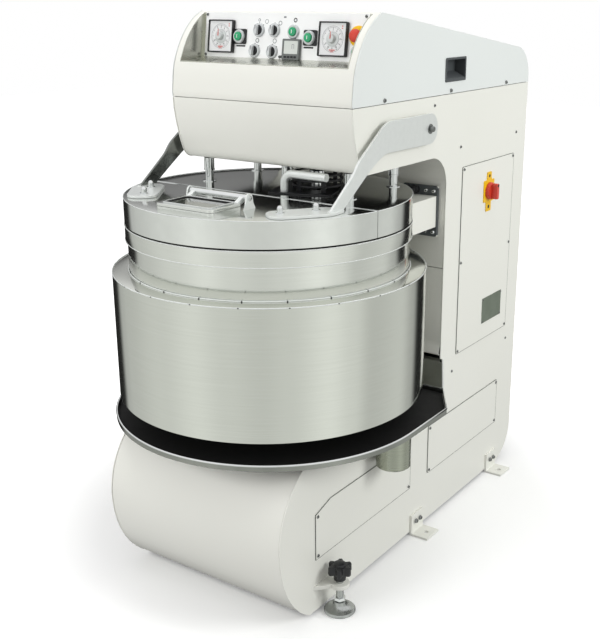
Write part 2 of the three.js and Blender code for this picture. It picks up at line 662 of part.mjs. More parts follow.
function breakerBar() {
  const b = BREAKER;
  return lathe([
    [0, b.bottomZ], [b.radius - 6, b.bottomZ], [b.radius, b.bottomZ + 8], [b.radius, UNDERSIDE_Z - GAP],
    [0, UNDERSIDE_Z - GAP],
  ], b.x, b.y, 16);
}

// A slotted cage round the spiral's shaft, standing on a square plate.
function spiralGuard() {
  const g = GUARD;
  const lean = radians(g.lean);
  const inner = g.radius - g.ring;
  const plate = box(-97, 97, -105, 100, LID.topZ + GAP, LID.topZ + 4).rotateZ(lean).translate(79, -214, 0);
  const rings = g.ringZ.map((z) => {
    const profile = [[inner, z], [g.radius, z], [g.radius, z + g.ring], [inner, z + g.ring]];
    return lathe(profile, SPIRAL.x, SPIRAL.y, 18);
  });
  const bars = [];
  for (let i = 0; i < g.bars; i++) {
    const bar = box(inner - 1, g.radius - 1, -8, 8, LID.topZ + 3, g.ringZ.at(-1) + 5);
    bars.push(bar.rotateZ(i * 2 * Math.PI / g.bars + lean).translate(SPIRAL.x, SPIRAL.y, 0));
  }
  return cut(join(plate, ...rings, ...bars), shaftHole(), pipeHole());
}

function waterPipe() {
  const p = PIPE;
  const path = new THREE.CurvePath();
  const corner = new THREE.Vector3(p.x, p.y, p.z);
  const before = new THREE.Vector3(p.x, p.y, p.z - p.bend);
  const after = new THREE.Vector3(p.x + p.bend, p.y, p.z);
  path.add(new THREE.LineCurve3(new THREE.Vector3(p.x, p.y, p.lowZ), before));
  path.add(new THREE.QuadraticBezierCurve3(before, corner, after));
  path.add(new THREE.LineCurve3(after, new THREE.Vector3(p.endX, p.y, p.z)));
  const settings = { steps: 16, bevelEnabled: false, extrudePath: path };
  return new THREE.ExtrudeGeometry(roundSection(p.radius, 8), settings);
}

// ---------------------------------------------------------------- doors and panels
function coverPlate(outline) {
  return sideExtrude(outline, HALF_WIDTH + GAP, HALF_WIDTH + 2.3);
}

// The side door, with the flat pad of the main switch on it.
function doorRight() {
  const d = DOOR;
  const s = SWITCH;
  const door = coverPlate(roundedRectangle(d.yLow, d.yHigh, d.zLow, d.zHigh, COVER_CORNER));
  const pad = box(
    HALF_WIDTH + 2, HALF_WIDTH + 5, s.y - s.plate, s.y + s.plate, s.z - s.plate, s.z + s.plate,
  );
  return join(door, pad);
}

function lowerRearPanel() {
  const p = REAR_PANEL;
  return coverPlate(roundedRectangle(p.yLow, p.yHigh, p.zLow, p.zHigh, COVER_CORNER));
}

function lowerFrontPanel() {
  return coverPlate(new THREE.Shape([
    vec2(-1, 184), vec2(-1, 354), vec2(-470, 354), vec2(-547, 330), vec2(-547, 184),
  ].reverse()));
}

function mainSwitchKnob() {
  const s = SWITCH;
  const face = HALF_WIDTH + 5.5;
  const base = crossRod(s.base, face, face + 14, s.y, s.z, 28);
  return join(base, box(face + 10, face + 38, s.y - 8, s.y + 8, s.z - s.grip, s.z + s.grip));
}

// ---------------------------------------------------------------- control panel
function panelTop() {
  return vec2(PANEL.y + PANEL.height * Math.sin(PANEL.lean), PANEL.z + PANEL.height * Math.cos(PANEL.lean));
}

// Places a geometry drawn on the panel's own frame (Z out of the panel) into the machine.
function onPanel(geometry) {
  return geometry.rotateX(Math.PI / 2 - PANEL.lean).translate(0, PANEL.y, PANEL.z);
}

// The recess: a ledge, a leaning back panel and two cheeks, bent and welded in one piece.
function controlPanel() {
  const half = PANEL.halfWidth - GAP;
  const lip = vec2(PANEL.y - PANEL.ledge, PANEL.z - PANEL.drop + GAP);
  const foot = vec2(PANEL.y - GAP, PANEL.z + GAP);
  const top = vec2(panelTop().x - GAP, panelTop().y);
  const block = sideExtrude(new THREE.Shape([
    lip, foot, top, vec2(top.x, 1780), vec2(-420, 1780), vec2(-420, lip.y),
  ]), -half, half);
  const hoodVolume = sideExtrude(new THREE.Shape(hoodPath()), -HALF_WIDTH, HALF_WIDTH);
  const t = PANEL.sheet;
  const hollow = sideExtrude(new THREE.Shape([
    vec2(-440, lip.y + t), vec2(lip.x, lip.y + t), vec2(foot.x - t * (1 - Math.tan(PANEL.lean)), foot.y + t),
    vec2(top.x - t, top.y), vec2(top.x - t, 1800), vec2(-440, 1800),
  ]), -half + t, half - t);
  const face = t + GAP;
  const stud = (radius, [x, y], low, high) => onPanel(uprightRod(radius, x, y, low, high));
  const bezels = Object.values(BUTTONS).map((place) => stud(17, place, face - 1, face + 6));
  const collars = Object.values(SELECTORS).map((place) => stud(17, place, face - 1, face + 5));
  const stopCollar = stud(22, EMERGENCY_STOP, face - 1, face + 4);
  const d = DISPLAY;
  const display = onPanel(box(
    d.x - d.width / 2, d.x + d.width / 2, d.y - d.height / 2, d.y + d.height / 2, face - 1, face + d.depth,
  ));
  const holes = Object.values(BUTTONS).map((place) => stud(13, place, -5, face + 20));
  const stopHole = stud(11, EMERGENCY_STOP, -5, face + 20);
  const recess = cut(common(block, hoodVolume), hollow);
  return cut(join(recess, ...bezels, ...collars, stopCollar, display), ...holes, stopHole);
}

function pushButton([x, y]) {
  const face = PANEL.sheet + GAP;
  return onPanel(lathe([
    [0, 0.5], [12.5, 0.5], [12.5, face + 9], [11, face + 11], [0, face + 12],
  ], x, y, 16));
}

function emergencyStop() {
  const face = PANEL.sheet + GAP;
  return onPanel(lathe([
    [0, 0.5], [10.4, 0.5], [10.4, face + 12], [20, face + 12], [20, face + 20],
    [14, face + 26], [0, face + 28],
  ], ...EMERGENCY_STOP, 20));
}

function selectorKnob([x, y]) {
  const low = PANEL.sheet + GAP + 5 + GAP;
  const dial = uprightRod(14, x, y, low, low + 7);
  const handle = box(x - 4, x + 4, y - 13, y + 13, low + 6, low + 18);
  return onPanel(join(dial, handle));
}

// A square panel timer: a thick frame with a shallow recessed face.
function timer([x, y]) {
  const { half, frame, depth, recess } = TIMER;
  const inner = half - frame;
  const low = PANEL.sheet + 2 * GAP;
  const block = box(x - half, x + half, y - half, y + half, low, low + depth);
  const hollow = box(x - inner, x + inner, y - inner, y + inner, low + recess, low + depth + 5);
  return onPanel(cut(block, hollow));
}

function timerKnob([x, y]) {
  const low = PANEL.sheet + 3 * GAP + TIMER.recess;
  return onPanel(lathe([
    [0, low], [30, low], [30, low + 2], [11, low + 3], [9.5, low + 13], [0, low + 13],
  ], x, y, 20));
}

// ---------------------------------------------------------------- feet and wheels
function jackFoot() {
  const j = JACK;
  return lathe([
    [0, 0], [j.pad, 0], [j.pad, 9], [j.pad - 8, 12], [20, 22], [18, 34], [j.spindle, 34],
    [j.spindle, j.top], [0, j.top],
  ], j.x, j.y, 18);
}

function jackKnob() {
  const j = JACK;
  const star = [];
  const points = 24;
  const lobes = 6;
  for (let i = 0; i < points; i++) {
    const angle = i * 2 * Math.PI / points;
    const radius = 31 + 6.5 * Math.cos(lobes * angle);
    star.push(vec2(j.x + radius * Math.cos(angle), j.y + radius * Math.sin(angle)));
  }
  const head = planExtrude(new THREE.Shape(star), j.knobZ, j.knobTop);
  const hub = lathe([
    [0, 108], [18, 108], [20, j.knobZ + 1], [20, j.knobTop], [16, 163], [0, 165],
  ], j.x, j.y, 16);
  return cut(join(head, hub), uprightRod(j.spindle + 0.8, j.x, j.y, 100, j.top + 2));
}

function wheel() {
  const w = WHEEL;
  const half = w.width / 2;
  const profile = [[w.bore, -half], [w.radius, -half], [w.radius, half], [w.bore, half]];
  return lathe(profile, 0, 0, 18).rotateY(Math.PI / 2);
}

// ---------------------------------------------------------------- assembly
const machine = new THREE.Group();

function add(name, geometry, finishName, position = [0, 0, 0]) {
  const mesh = new THREE.Mesh(geometry, finish(finishName));
  mesh.name = name;
  mesh.position.set(...position);
  machine.add(mesh);
}

function addPair(name, geometry, finishName) {
  add(`${name}_right`, geometry, finishName);
  add(`${name}_left`, mirrored(geometry), finishName);
}

// The bowl's gear motor hangs under the deck and its pulley faces the bowl's across the base.
function addBowlDrive() {
  const d = BOWL_DRIVE;
  const deck = DECK_Z - 5;
  const shaftTop = d.beltZ + d.beltHeight + 8;
  const profile = pulleyProfile(d.motorRadius, 16, d.beltZ, d.beltHeight, d.beltZ, shaftTop - GAP);
  add('bowl_motor', gearMotor(0, d.motorY, deck - GAP, 90, deck - shaftTop), 'cast');
  add('bowl_motor_pulley', lathe(profile, 0, d.motorY, 16), 'cast');
}

// The spiral's gear motor hangs under the head plate, with its pulley above the plate.
function addSpiralDrive() {
  const d = SPIRAL_DRIVE;
  const top = d.beltZ + d.beltHeight;
  const profile = pulleyProfile(d.motorRadius, 19, d.beltZ, d.beltHeight, HEAD_PLATE_Z + GAP, top);
  add('spiral_motor', gearMotor(SPIRAL.x, d.motorY, HEAD_PLATE_Z - GAP, 85, 320), 'cast');
  add('spiral_motor_pulley', lathe(profile, SPIRAL.x, d.motorY, 16), 'cast');
}

addPair('side_plate', sidePlate(), 'paint');
add('nose_cover', noseCover(), 'paint');
add('base_frame', baseFrame(), 'cast');
add('head_frame', headFrame(), 'cast');
add('column_front_lower', columnFrontLower(), 'paint');
add('column_front_upper', columnFrontUpper(), 'paint');
add('column_rear_cover', columnRearCover(), 'paint');
add('head_front_shell', headFrontShell(), 'paint');
add('top_cover', topCover(), 'paint');
addPair('grip', grip(), 'grey');
add('door_right', doorRight(), 'paint');
add('lower_front_panel', lowerFrontPanel(), 'paint');
add('lower_rear_panel', lowerRearPanel(), 'paint');
add('main_switch_knob', mainSwitchKnob(), 'red');

addBowlDrive();
addSpiralDrive();

add('bowl', bowlVessel(), 'steel');
add('bowl_skirt', bowlSkirt(), 'steel');
add('bowl_shaft', bowlShaft(), 'steel');
add('drip_tray', dripTray(), 'steel');
addPair('roller_housing', rollerHousing(), 'steel');

add('rear_lid', rearLid(), 'polished');
add('front_lid', frontLid(), 'polished');
add('hatch_flap', hatchFlap(), 'polished');
add('hatch_window', hatchWindow(), 'glass');
addPair('lid_arm', lidArm(), 'steel');
addPair('lid_support', lidSupport(), 'paint');

add('spiral', spiral(), 'polished');
add('breaker_bar', breakerBar(), 'polished');
add('spiral_guard', spiralGuard(), 'black');
add('water_pipe', waterPipe(), 'steel');

add('control_panel', controlPanel(), 'polished');
add('emergency_stop', emergencyStop(), 'red');
for (const [name, place] of Object.entries(BUTTONS)) add(`button_${name}`, pushButton(place), 'green');
for (const [name, place] of Object.entries(SELECTORS)) add(`selector_${name}`, selectorKnob(place), 'silver');
for (const [name, place] of Object.entries(TIMERS)) {
  add(`timer_${name}`, timer(place), 'black');
  add(`timer_knob_${name}`, timerKnob(place), 'silver');
}

addPair('jack_foot', jackFoot(), 'steel');
addPair('jack_knob', jackKnob(), 'black');
for (const [side, sign] of [['right', 1], ['left', -1]]) {
  add(`wheel_front_${side}`, wheel(), 'black', [sign * WHEEL.x, WHEEL.y[0], WHEEL.z]);
  add(`wheel_rear_${side}`, wheel(), 'black', [sign * WHEEL.x, WHEEL.y[1], WHEEL.z]);
}

export default machine;
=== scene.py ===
import math
import bpy
import bmesh
from mathutils import Matrix, Vector


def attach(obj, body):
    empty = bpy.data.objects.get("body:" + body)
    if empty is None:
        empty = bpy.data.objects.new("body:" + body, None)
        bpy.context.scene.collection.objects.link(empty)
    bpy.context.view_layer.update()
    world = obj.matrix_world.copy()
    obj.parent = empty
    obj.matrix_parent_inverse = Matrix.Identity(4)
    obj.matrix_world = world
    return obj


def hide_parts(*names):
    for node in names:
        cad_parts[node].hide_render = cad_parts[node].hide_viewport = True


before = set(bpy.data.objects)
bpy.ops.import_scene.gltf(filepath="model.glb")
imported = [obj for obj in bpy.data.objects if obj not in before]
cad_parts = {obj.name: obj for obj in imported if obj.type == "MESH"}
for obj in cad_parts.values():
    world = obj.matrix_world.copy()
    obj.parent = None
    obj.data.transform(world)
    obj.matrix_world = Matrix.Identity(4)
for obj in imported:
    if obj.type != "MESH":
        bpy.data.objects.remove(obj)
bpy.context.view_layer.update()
mm = 0.001
print("frame loaded")


# Small helpers: colour, nodes, meshes

def linear(hexCode, alpha=1.0):
    channels = [int(hexCode[i:i + 2], 16) / 255 for i in (1, 3, 5)]
    return tuple(c / 12.92 if c <= 0.04045 else ((c + 0.055) / 1.055) ** 2.4 for c in channels) + (alpha,)


# Adds a node. Its links may be sockets, nodes, which give their first output, or plain values.
def addNode(tree, kind, settings=None, links=None):
    node = tree.nodes.new(kind)
    for key, value in (settings or {}).items():
        if hasattr(node, key):
            setattr(node, key, value)
        else:
            node.inputs[key].default_value = value
    for key, value in (links or {}).items():
        if isinstance(value, bpy.types.Node):
            value = value.outputs[0]
        if isinstance(value, bpy.types.NodeSocket):
            tree.links.new(value, node.inputs[key])
        else:
            node.inputs[key].default_value = value
    return node


def showMesh(name, mesh):
    piece = bpy.data.objects.new(name, mesh)
    bpy.context.scene.collection.objects.link(piece)
    return piece


def mounted(piece, body, replaces=()):
    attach(piece, body)
    if replaces:
        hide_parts(*replaces)
    return piece


# Turns a bmesh into a piece: bevels its sharp edges, smooths the rest and keeps flat faces flat.
def finished(name, shape, material, bevel=0.0, smooth=38):
    bmesh.ops.remove_doubles(shape, verts=shape.verts, dist=1e-6)
    bmesh.ops.recalc_face_normals(shape, faces=shape.faces)
    if bevel:
        sharp = [e for e in shape.edges if e.is_manifold and e.calc_face_angle(0) > math.radians(28)]
        bmesh.ops.bevel(
            shape, geom=sharp, offset=bevel * mm, segments=2, profile=0.5, affect="EDGES", clamp_overlap=True)
    mesh = bpy.data.meshes.new(name)
    shape.to_mesh(mesh)
    shape.free()
    mesh.materials.append(material)
    mesh.polygons.foreach_set("use_smooth", [True] * len(mesh.polygons))
    mesh.set_sharp_from_angle(angle=math.radians(smooth))
    piece = showMesh(name, mesh)
    if bevel:
        weights = piece.modifiers.new("evenNormals", "WEIGHTED_NORMAL")
        weights.keep_sharp = True
    return piece


# Places for an outline's (u, v) and its depth w.
def sidePlace(u, v, w):
    return (w, u, v)


def planPlace(u, v, w):
    return (u, v, w)


def frontPlace(u, v, w):
    return (u, w, v)


def turnedTo(x, y, z, angle, axis):
    return Matrix.Translation(Vector((x, y, z)) * mm) @ Matrix.Rotation(angle, 4, axis)


bothSides = (("right", 1), ("left", -1))


# A prism on an outline, which may be concave.
def prism(outline, low, high, place):
    shape = bmesh.new()
    rings = [[shape.verts.new(Vector(place(u, v, w)) * mm) for u, v in outline] for w in (low, high)]
    count = len(outline)
    shape.faces.new(rings[0][::-1])
    shape.faces.new(rings[1])
    for i in range(count):
        j = (i + 1) % count
        shape.faces.new([rings[0][i], rings[0][j], rings[1][j], rings[1][i]])
    return shape


# A flat frame between two outlines with the same number of points.
def framePrism(outer, inner, low, high, place):
    shape = bmesh.new()
    loops = [[shape.verts.new(Vector(place(u, v, w)) * mm) for u, v in outline]
             for outline, w in ((outer, low), (outer, high), (inner, high), (inner, low))]
    count = len(outer)
    for k in range(4):
        a, b = loops[k], loops[(k + 1) % 4]
        for i in range(count):
            j = (i + 1) % count
            shape.faces.new([a[i], a[j], b[j], b[i]])
    return shape


def boxOutline(uLow, uHigh, vLow, vHigh):
    return [(uLow, vLow), (uHigh, vLow), (uHigh, vHigh), (uLow, vHigh)]


def arc(cx, cy, radius, start, end, steps=8):
    angles = [math.radians(start + (end - start) * i / steps) for i in range(steps + 1)]
    return [(cx + radius * math.cos(a), cy + radius * math.sin(a)) for a in angles]


def beadRing(radius, height, bead, steps=10):
    angles = [2 * math.pi * k / steps for k in range(steps)]
    return [(radius + bead * math.cos(a), height + bead * math.sin(a)) for a in angles]


def roundHole(x, y, radius, low=1180, high=1250):
    return prism(arc(x, y, radius, 0, 352.5, 47), low, high, planPlace)


def roundedBox(uLow, uHigh, vLow, vHigh, radius, steps=6):
    return (arc(uLow + radius, vLow + radius, radius, 180, 270, steps)
            + arc(uHigh - radius, vLow + radius, radius, 270, 360, steps)
            + arc(uHigh - radius, vHigh - radius, radius, 0, 90, steps)
            + arc(uLow + radius, vHigh - radius, radius, 90, 180, steps))


# Moves an open path sideways, to the left of its travel when the distance is positive.
def offsetPath(points, distance):
    moved = []
    for i, point in enumerate(points):
        here = Vector(point)
        before, after = Vector(points[max(i - 1, 0)]), Vector(points[min(i + 1, len(points) - 1)])
        into = ((here - before) if i else (after - here)).normalized()
        out = ((after - here) if i < len(points) - 1 else into).normalized()
        normal = Vector((-into.y - out.y, into.x + out.x)).normalized()
        moved.append(tuple(here + normal * (distance / normal.dot(Vector((-into.y, into.x))))))
    return moved


def sheetOutline(points, thickness):
    return points + offsetPath(points, thickness)[::-1]


# Rounds the corners of a path with short arcs made of quadratic curves.
def softened(points, radius, steps=4, closed=False):
    result = []
    count = len(points)
    for i, point in enumerate(points):
        if not closed and i in (0, count - 1):
            result.append(point)
            continue
        here = Vector(point)
        before, after = Vector(points[i - 1]), Vector(points[(i + 1) % count])
        reach = min(radius, (before - here).length * 0.45, (after - here).length * 0.45)
        start = here + (before - here).normalized() * reach
        end = here + (after - here).normalized() * reach
        for k in range(steps + 1):
            t = k / steps
            result.append(tuple(start * (1 - t) ** 2 + here * 2 * t * (1 - t) + end * t * t))
    return result


def bezier(points, steps):
    result = []
    for i in range(steps + 1):
        work = [Vector(p) for p in points]
        while len(work) > 1:
            work = [a.lerp(b, i / steps) for a, b in zip(work, work[1:])]
        result.append(tuple(work[0]))
    return result


def splined(points, steps):
    result = []
    known = [Vector(p) for p in points]
    for i in range(len(known) - 1):
        a, b, c, d = known[max(i - 1, 0)], known[i], known[i + 1], known[min(i + 2, len(known) - 1)]
        for k in range(steps):
            t = k / steps
            slopeIn, slopeOut = (c - a) * 0.5, (d - b) * 0.5
            result.append(tuple(
                (b * 2 - c * 2 + slopeIn + slopeOut) * t ** 3
                + (c * 3 - b * 3 - slopeIn * 2 - slopeOut) * t ** 2 + slopeIn * t + b))
    return result + [tuple(known[-1])]


# Cuts, joins or intersects two bmeshes and hands back the first one.
def combined(base, tool, operation="DIFFERENCE"):
    holders = []
    for shape in (base, tool):
        bmesh.ops.recalc_face_normals(shape, faces=shape.faces)
        mesh = bpy.data.meshes.new("cutting")
        shape.to_mesh(mesh)
        shape.free()
        holders.append(showMesh("cutting", mesh))
    modifier = holders[0].modifiers.new("cut", "BOOLEAN")
    modifier.operation = operation
    modifier.solver = "EXACT"
    modifier.object = holders[1]
    result = bmesh.new()
    result.from_object(holders[0], bpy.context.evaluated_depsgraph_get())
    for holder in holders:
        bpy.data.objects.remove(holder)
    return result


# Geometry Nodes trees: a turned shell, fasteners on points and bars round a circle

def newTree(name, inputs):
    tree = bpy.data.node_groups.new(name, "GeometryNodeTree")
    tree.interface.new_socket("Geometry", in_out="INPUT", socket_type="NodeSocketGeometry")
    for label, kind in inputs:
        tree.interface.new_socket(label, in_out="INPUT", socket_type="NodeSocket" + kind)
    tree.interface.new_socket("Geometry", in_out="OUTPUT", socket_type="NodeSocketGeometry")
    return tree, tree.nodes.new("NodeGroupInput").outputs, tree.nodes.new("NodeGroupOutput").inputs


# Every tree ends the same way: real geometry, and its material.
def painted(tree, geometry, material):
    real = addNode(tree, "GeometryNodeRealizeInstances", {}, {"Geometry": geometry})
    return addNode(tree, "GeometryNodeSetMaterial", {}, {"Geometry": real, "Material": material})


def turnedShellTree():
    tree, given, result = newTree("turnedShell", [
        ("Segments", "Int"), ("Centre", "Vector"), ("Material", "Material")])
    size = addNode(tree, "GeometryNodeAttributeDomainSize", {"component": "MESH"}, {
        "Geometry": given["Geometry"]})
    rows = size.outputs["Point Count"]
    columns = addNode(tree, "ShaderNodeMath", {"operation": "ADD"}, {0: given["Segments"], 1: 1.0})
    grid = addNode(tree, "GeometryNodeMeshGrid", {}, {"Vertices X": columns, "Vertices Y": rows})
    index = addNode(tree, "GeometryNodeInputIndex")
    row = addNode(tree, "ShaderNodeMath", {"operation": "MODULO"}, {0: index, 1: rows})
    share = addNode(tree, "ShaderNodeMath", {"operation": "DIVIDE"}, {0: index, 1: rows})
    column = addNode(tree, "ShaderNodeMath", {"operation": "FLOOR"}, {0: share})
    turns = addNode(tree, "ShaderNodeMath", {"operation": "MULTIPLY"}, {0: column, 1: 2 * math.pi})
    angle = addNode(tree, "ShaderNodeMath", {"operation": "DIVIDE"}, {0: turns, 1: given["Segments"]})
    place = addNode(tree, "GeometryNodeInputPosition")
    sample = addNode(tree, "GeometryNodeSampleIndex", {"data_type": "FLOAT_VECTOR"}, {
        "Geometry": given["Geometry"], "Value": place, "Index": row})
    profile = addNode(tree, "ShaderNodeSeparateXYZ", {}, {0: sample}).outputs
    across = addNode(tree, "ShaderNodeMath", {"operation": "COSINE"}, {0: angle})
    along = addNode(tree, "ShaderNodeMath", {"operation": "SINE"}, {0: angle})
    around = addNode(tree, "ShaderNodeCombineXYZ", {}, {
        "X": addNode(tree, "ShaderNodeMath", {"operation": "MULTIPLY"}, {0: profile["X"], 1: across}),
        "Y": addNode(tree, "ShaderNodeMath", {"operation": "MULTIPLY"}, {0: profile["X"], 1: along}),
        "Z": profile["Z"]})
    centred = addNode(tree, "ShaderNodeVectorMath", {"operation": "ADD"}, {0: around, 1: given["Centre"]})
    turned = addNode(tree, "GeometryNodeSetPosition", {}, {"Geometry": grid, "Position": centred})
    merged = addNode(tree, "GeometryNodeMergeByDistance", {"Distance": 1e-6}, {"Geometry": turned})
    tree.links.new(painted(tree, merged, given["Material"]).outputs[0], result["Geometry"])
    return tree


def fastenerTree():
    tree, given, result = newTree("fasteners", [
        ("Head radius", "Float"), ("Head height", "Float"), ("Facing", "Rotation"),
        ("Steel", "Material"), ("Socket", "Material")])
    radius, height = given["Head radius"], given["Head height"]
    sizes = [addNode(tree, "ShaderNodeMath", {"operation": "MULTIPLY"}, {0: measure, 1: share})
             for measure, share in ((radius, 0.7), (radius, 0.42), (height, 0.3), (height, 0.87))]
    head = addNode(tree, "GeometryNodeMeshCone", {"Vertices": 20}, {
        "Radius Top": sizes[0], "Radius Bottom": radius, "Depth": height})
    recess = addNode(tree, "GeometryNodeMeshCylinder", {"Vertices": 6}, {"Radius": sizes[1], "Depth": sizes[2]})
    raised = addNode(tree, "ShaderNodeCombineXYZ", {}, {"Z": sizes[3]})
    lifted = addNode(tree, "GeometryNodeTransform", {}, {"Geometry": recess, "Translation": raised})
    marked = addNode(tree, "GeometryNodeStoreNamedAttribute", {
        "data_type": "BOOLEAN", "domain": "FACE", "Name": "isSocket", "Value": True}, {"Geometry": lifted})
    both = addNode(tree, "GeometryNodeJoinGeometry")
    for part in (head, marked):
        tree.links.new(part.outputs[0], both.inputs[0])
    spread = addNode(tree, "GeometryNodeInstanceOnPoints", {}, {
        "Points": given["Geometry"], "Instance": both, "Rotation": given["Facing"]})
    # The recess is a dark hexagon: painted shade in the socket.
    chosen = addNode(tree, "GeometryNodeInputNamedAttribute", {"data_type": "BOOLEAN", "Name": "isSocket"})
    dark = addNode(tree, "GeometryNodeSetMaterial", {}, {
        "Geometry": painted(tree, spread, given["Steel"]), "Selection": chosen, "Material": given["Socket"]})
    tree.links.new(dark.outputs[0], result["Geometry"])
    return tree


def radialBarTree():
    tree, given, result = newTree("radialBars", [
        ("Count", "Int"), ("Radius", "Float"), ("Bar", "Vector"), ("Turn", "Float"), ("Facing", "Rotation"),
        ("Place", "Vector"), ("Material", "Material")])
    ring = addNode(tree, "GeometryNodeMeshCircle", {}, {"Vertices": given["Count"], "Radius": given["Radius"]})
    position = addNode(tree, "GeometryNodeInputPosition")
    place = addNode(tree, "ShaderNodeSeparateXYZ", {}, {0: position}).outputs
    angle = addNode(tree, "ShaderNodeMath", {"operation": "ARCTAN2"}, {0: place["Y"], 1: place["X"]})
    outward = addNode(tree, "ShaderNodeCombineXYZ", {}, {"Z": angle})
    bar = addNode(tree, "GeometryNodeMeshCube", {}, {"Size": given["Bar"]})
    spread = addNode(tree, "GeometryNodeInstanceOnPoints", {}, {
        "Points": ring, "Instance": bar, "Rotation": outward})
    spin = addNode(tree, "ShaderNodeCombineXYZ", {}, {"Z": given["Turn"]})
    turned = addNode(tree, "GeometryNodeTransform", {}, {"Geometry": spread, "Rotation": spin})
    moved = addNode(tree, "GeometryNodeTransform", {}, {
        "Geometry": turned, "Rotation": given["Facing"], "Translation": given["Place"]})
    tree.links.new(painted(tree, moved, given["Material"]).outputs[0], result["Geometry"])
    return tree


turnedShell = turnedShellTree()
fasteners = fastenerTree()
radialBars = radialBarTree()


# Runs a tree on a seed mesh and keeps the result as a plain mesh.
def grown(name, tree, seed, values):
    carrier = showMesh(name + "Seed", seed)
    modifier = carrier.modifiers.new("grow", "NODES")
    modifier.node_group = tree
    sockets = {item.name: item.identifier for item in tree.interface.items_tree if item.in_out == "INPUT"}
    for label, value in values.items():
        modifier[sockets[label]] = value
    bpy.context.view_layer.update()
    mesh = bpy.data.meshes.new_from_object(carrier.evaluated_get(bpy.context.evaluated_depsgraph_get()))
    bpy.data.objects.remove(carrier)
    mesh.name = name
    return showMesh(name, mesh)


def pointMesh(points, edges=()):
    mesh = bpy.data.meshes.new("seed")
    mesh.from_pydata([Vector(p) * mm for p in points], list(edges), [])
    return mesh


# A turned piece: a closed profile of (radius, height) points revolved about an upright axis, and then placed.
def turned(name, profile, centre, material, segments=96, smooth=38, place=None):
    ends = [] if profile[0][0] == 0 and profile[-1][0] == 0 else [profile[0]]
    seed = pointMesh([(r, 0, z) for r, z in list(profile) + ends])
    piece = grown(name, turnedShell, seed, {
        "Segments": segments, "Centre": Vector((*centre, 0)) * mm if place is None else (0.0, 0.0, 0.0),
        "Material": material})
    shape = bmesh.new()
    shape.from_mesh(piece.data)
    bmesh.ops.remove_doubles(shape, verts=shape.verts, dist=1e-7)
    bmesh.ops.recalc_face_normals(shape, faces=shape.faces)
    shape.to_mesh(piece.data)
    shape.free()
    if place is not None:
        piece.data.transform(place)
    piece.data.polygons.foreach_set("use_smooth", [True] * len(piece.data.polygons))
    piece.data.set_sharp_from_angle(angle=math.radians(smooth))
    return piece


facingRight = (0.0, math.pi / 2, 0.0)
facingLeft = (0.0, -math.pi / 2, 0.0)
facingUp = (0.0, 0.0, 0.0)
facingFront = (math.pi / 2, 0.0, 0.0)


def screws(name, points, radius, height, facing, steel, socket):
    return grown(name, fasteners, pointMesh(points), {
        "Head radius": radius * mm, "Head height": height * mm, "Facing": facing, "Steel": steel,
        "Socket": socket})


def ringOfBars(name, count, radius, bar, turn, facing, place, material):
    return grown(name, radialBars, pointMesh([(0, 0, 0)]), {
        "Count": count, "Radius": radius * mm, "Bar": Vector(bar) * mm, "Turn": turn, "Facing": facing,
        "Place": Vector(place) * mm, "Material": material})


# A round bar swept along a list of points, with closed ends.
def swept(name, points, radius, material, sides=20, closed=False):
    shape = bmesh.new()
    places = [Vector(p) for p in points]
    count = len(places)
    rings = []
    normal = None
    for i, place in enumerate(places):
        ahead = places[(i + 1) % count] if closed or i < count - 1 else place
        behind = places[i - 1] if closed or i else place
        tangent = (ahead - behind).normalized()
        if normal is None:
            normal = tangent.orthogonal().normalized()
        normal = (normal - tangent * normal.dot(tangent)).normalized()
        side = tangent.cross(normal)
        angles = [2 * math.pi * k / sides for k in range(sides)]
        rings.append([shape.verts.new((place + (normal * math.cos(a) + side * math.sin(a)) * radius) * mm)
                      for a in angles])
    for a, b in zip(rings, rings[1:] + (rings[:1] if closed else [])):
        for k in range(sides):
            shape.faces.new([a[k], a[(k + 1) % sides], b[(k + 1) % sides], b[k]])
    if not closed:
        shape.faces.new(rings[0][::-1])
        shape.faces.new(rings[-1])
    return finished(name, shape, material, smooth=50)


print("tools ready")


# Finishes

def newMaterial(name, colour, roughness, metallic=0.0, coat=0.0, ior=None):
    material = bpy.data.materials.new(name)
    material.use_nodes = True
    shader = material.node_tree.nodes["Principled BSDF"]
    shader.inputs["Base Color"].default_value = linear(colour)
    shader.inputs["Roughness"].default_value = roughness
    shader.inputs["Metallic"].default_value = metallic
    shader.inputs["Coat Weight"].default_value = coat
    if ior:
        shader.inputs["IOR"].default_value = ior
    return material, material.node_tree, shader


def objectPoints(tree, scale=(1, 1, 1)):
    coords = addNode(tree, "ShaderNodeTexCoord")
    return addNode(tree, "ShaderNodeMapping", {"Scale": scale}, {"Vector": coords.outputs["Object"]}).outputs[0]


# Lets a noise carry a surface from one colour and roughness to another, and raises a fine grain on it.
def vary(tree, shader, noise, colours, roughness, grain, strength, height):
    wander = noise.outputs["Fac"]
    mix = addNode(tree, "ShaderNodeMix", {"data_type": "RGBA"}, {
        "Factor": wander, 6: linear(colours[0]), 7: linear(colours[1])})
    shift = addNode(tree, "ShaderNodeMapRange", {"To Min": roughness[0], "To Max": roughness[1]}, {
        "Value": wander})
    raised = addNode(tree, "ShaderNodeBump", {"Strength": strength, "Distance": height * mm}, {
        "Height": grain.outputs["Fac"]})
    tree.links.new(mix.outputs[2], shader.inputs["Base Color"])
    tree.links.new(shift.outputs[0], shader.inputs["Roughness"])
    tree.links.new(raised.outputs[0], shader.inputs["Normal"])


# A coat or a moulding: its colour wanders over patches, and its grain is a second, finer noise, both in mm.
def grainedSkin(name, colours, roughness, span, patch, grain, height, coat=0.0):
    material, tree, shader = newMaterial(name, colours[0], roughness, coat=coat, ior=1.5)
    points = objectPoints(tree)
    noise, pores = (addNode(tree, "ShaderNodeTexNoise", {"Scale": 1 / (size * mm), "Detail": detail}, {
        "Vector": points}) for size, detail in ((patch, 3.0), (grain, 2.0)))
    vary(tree, shader, noise, colours, span, pores, 0.35, height)
    return material


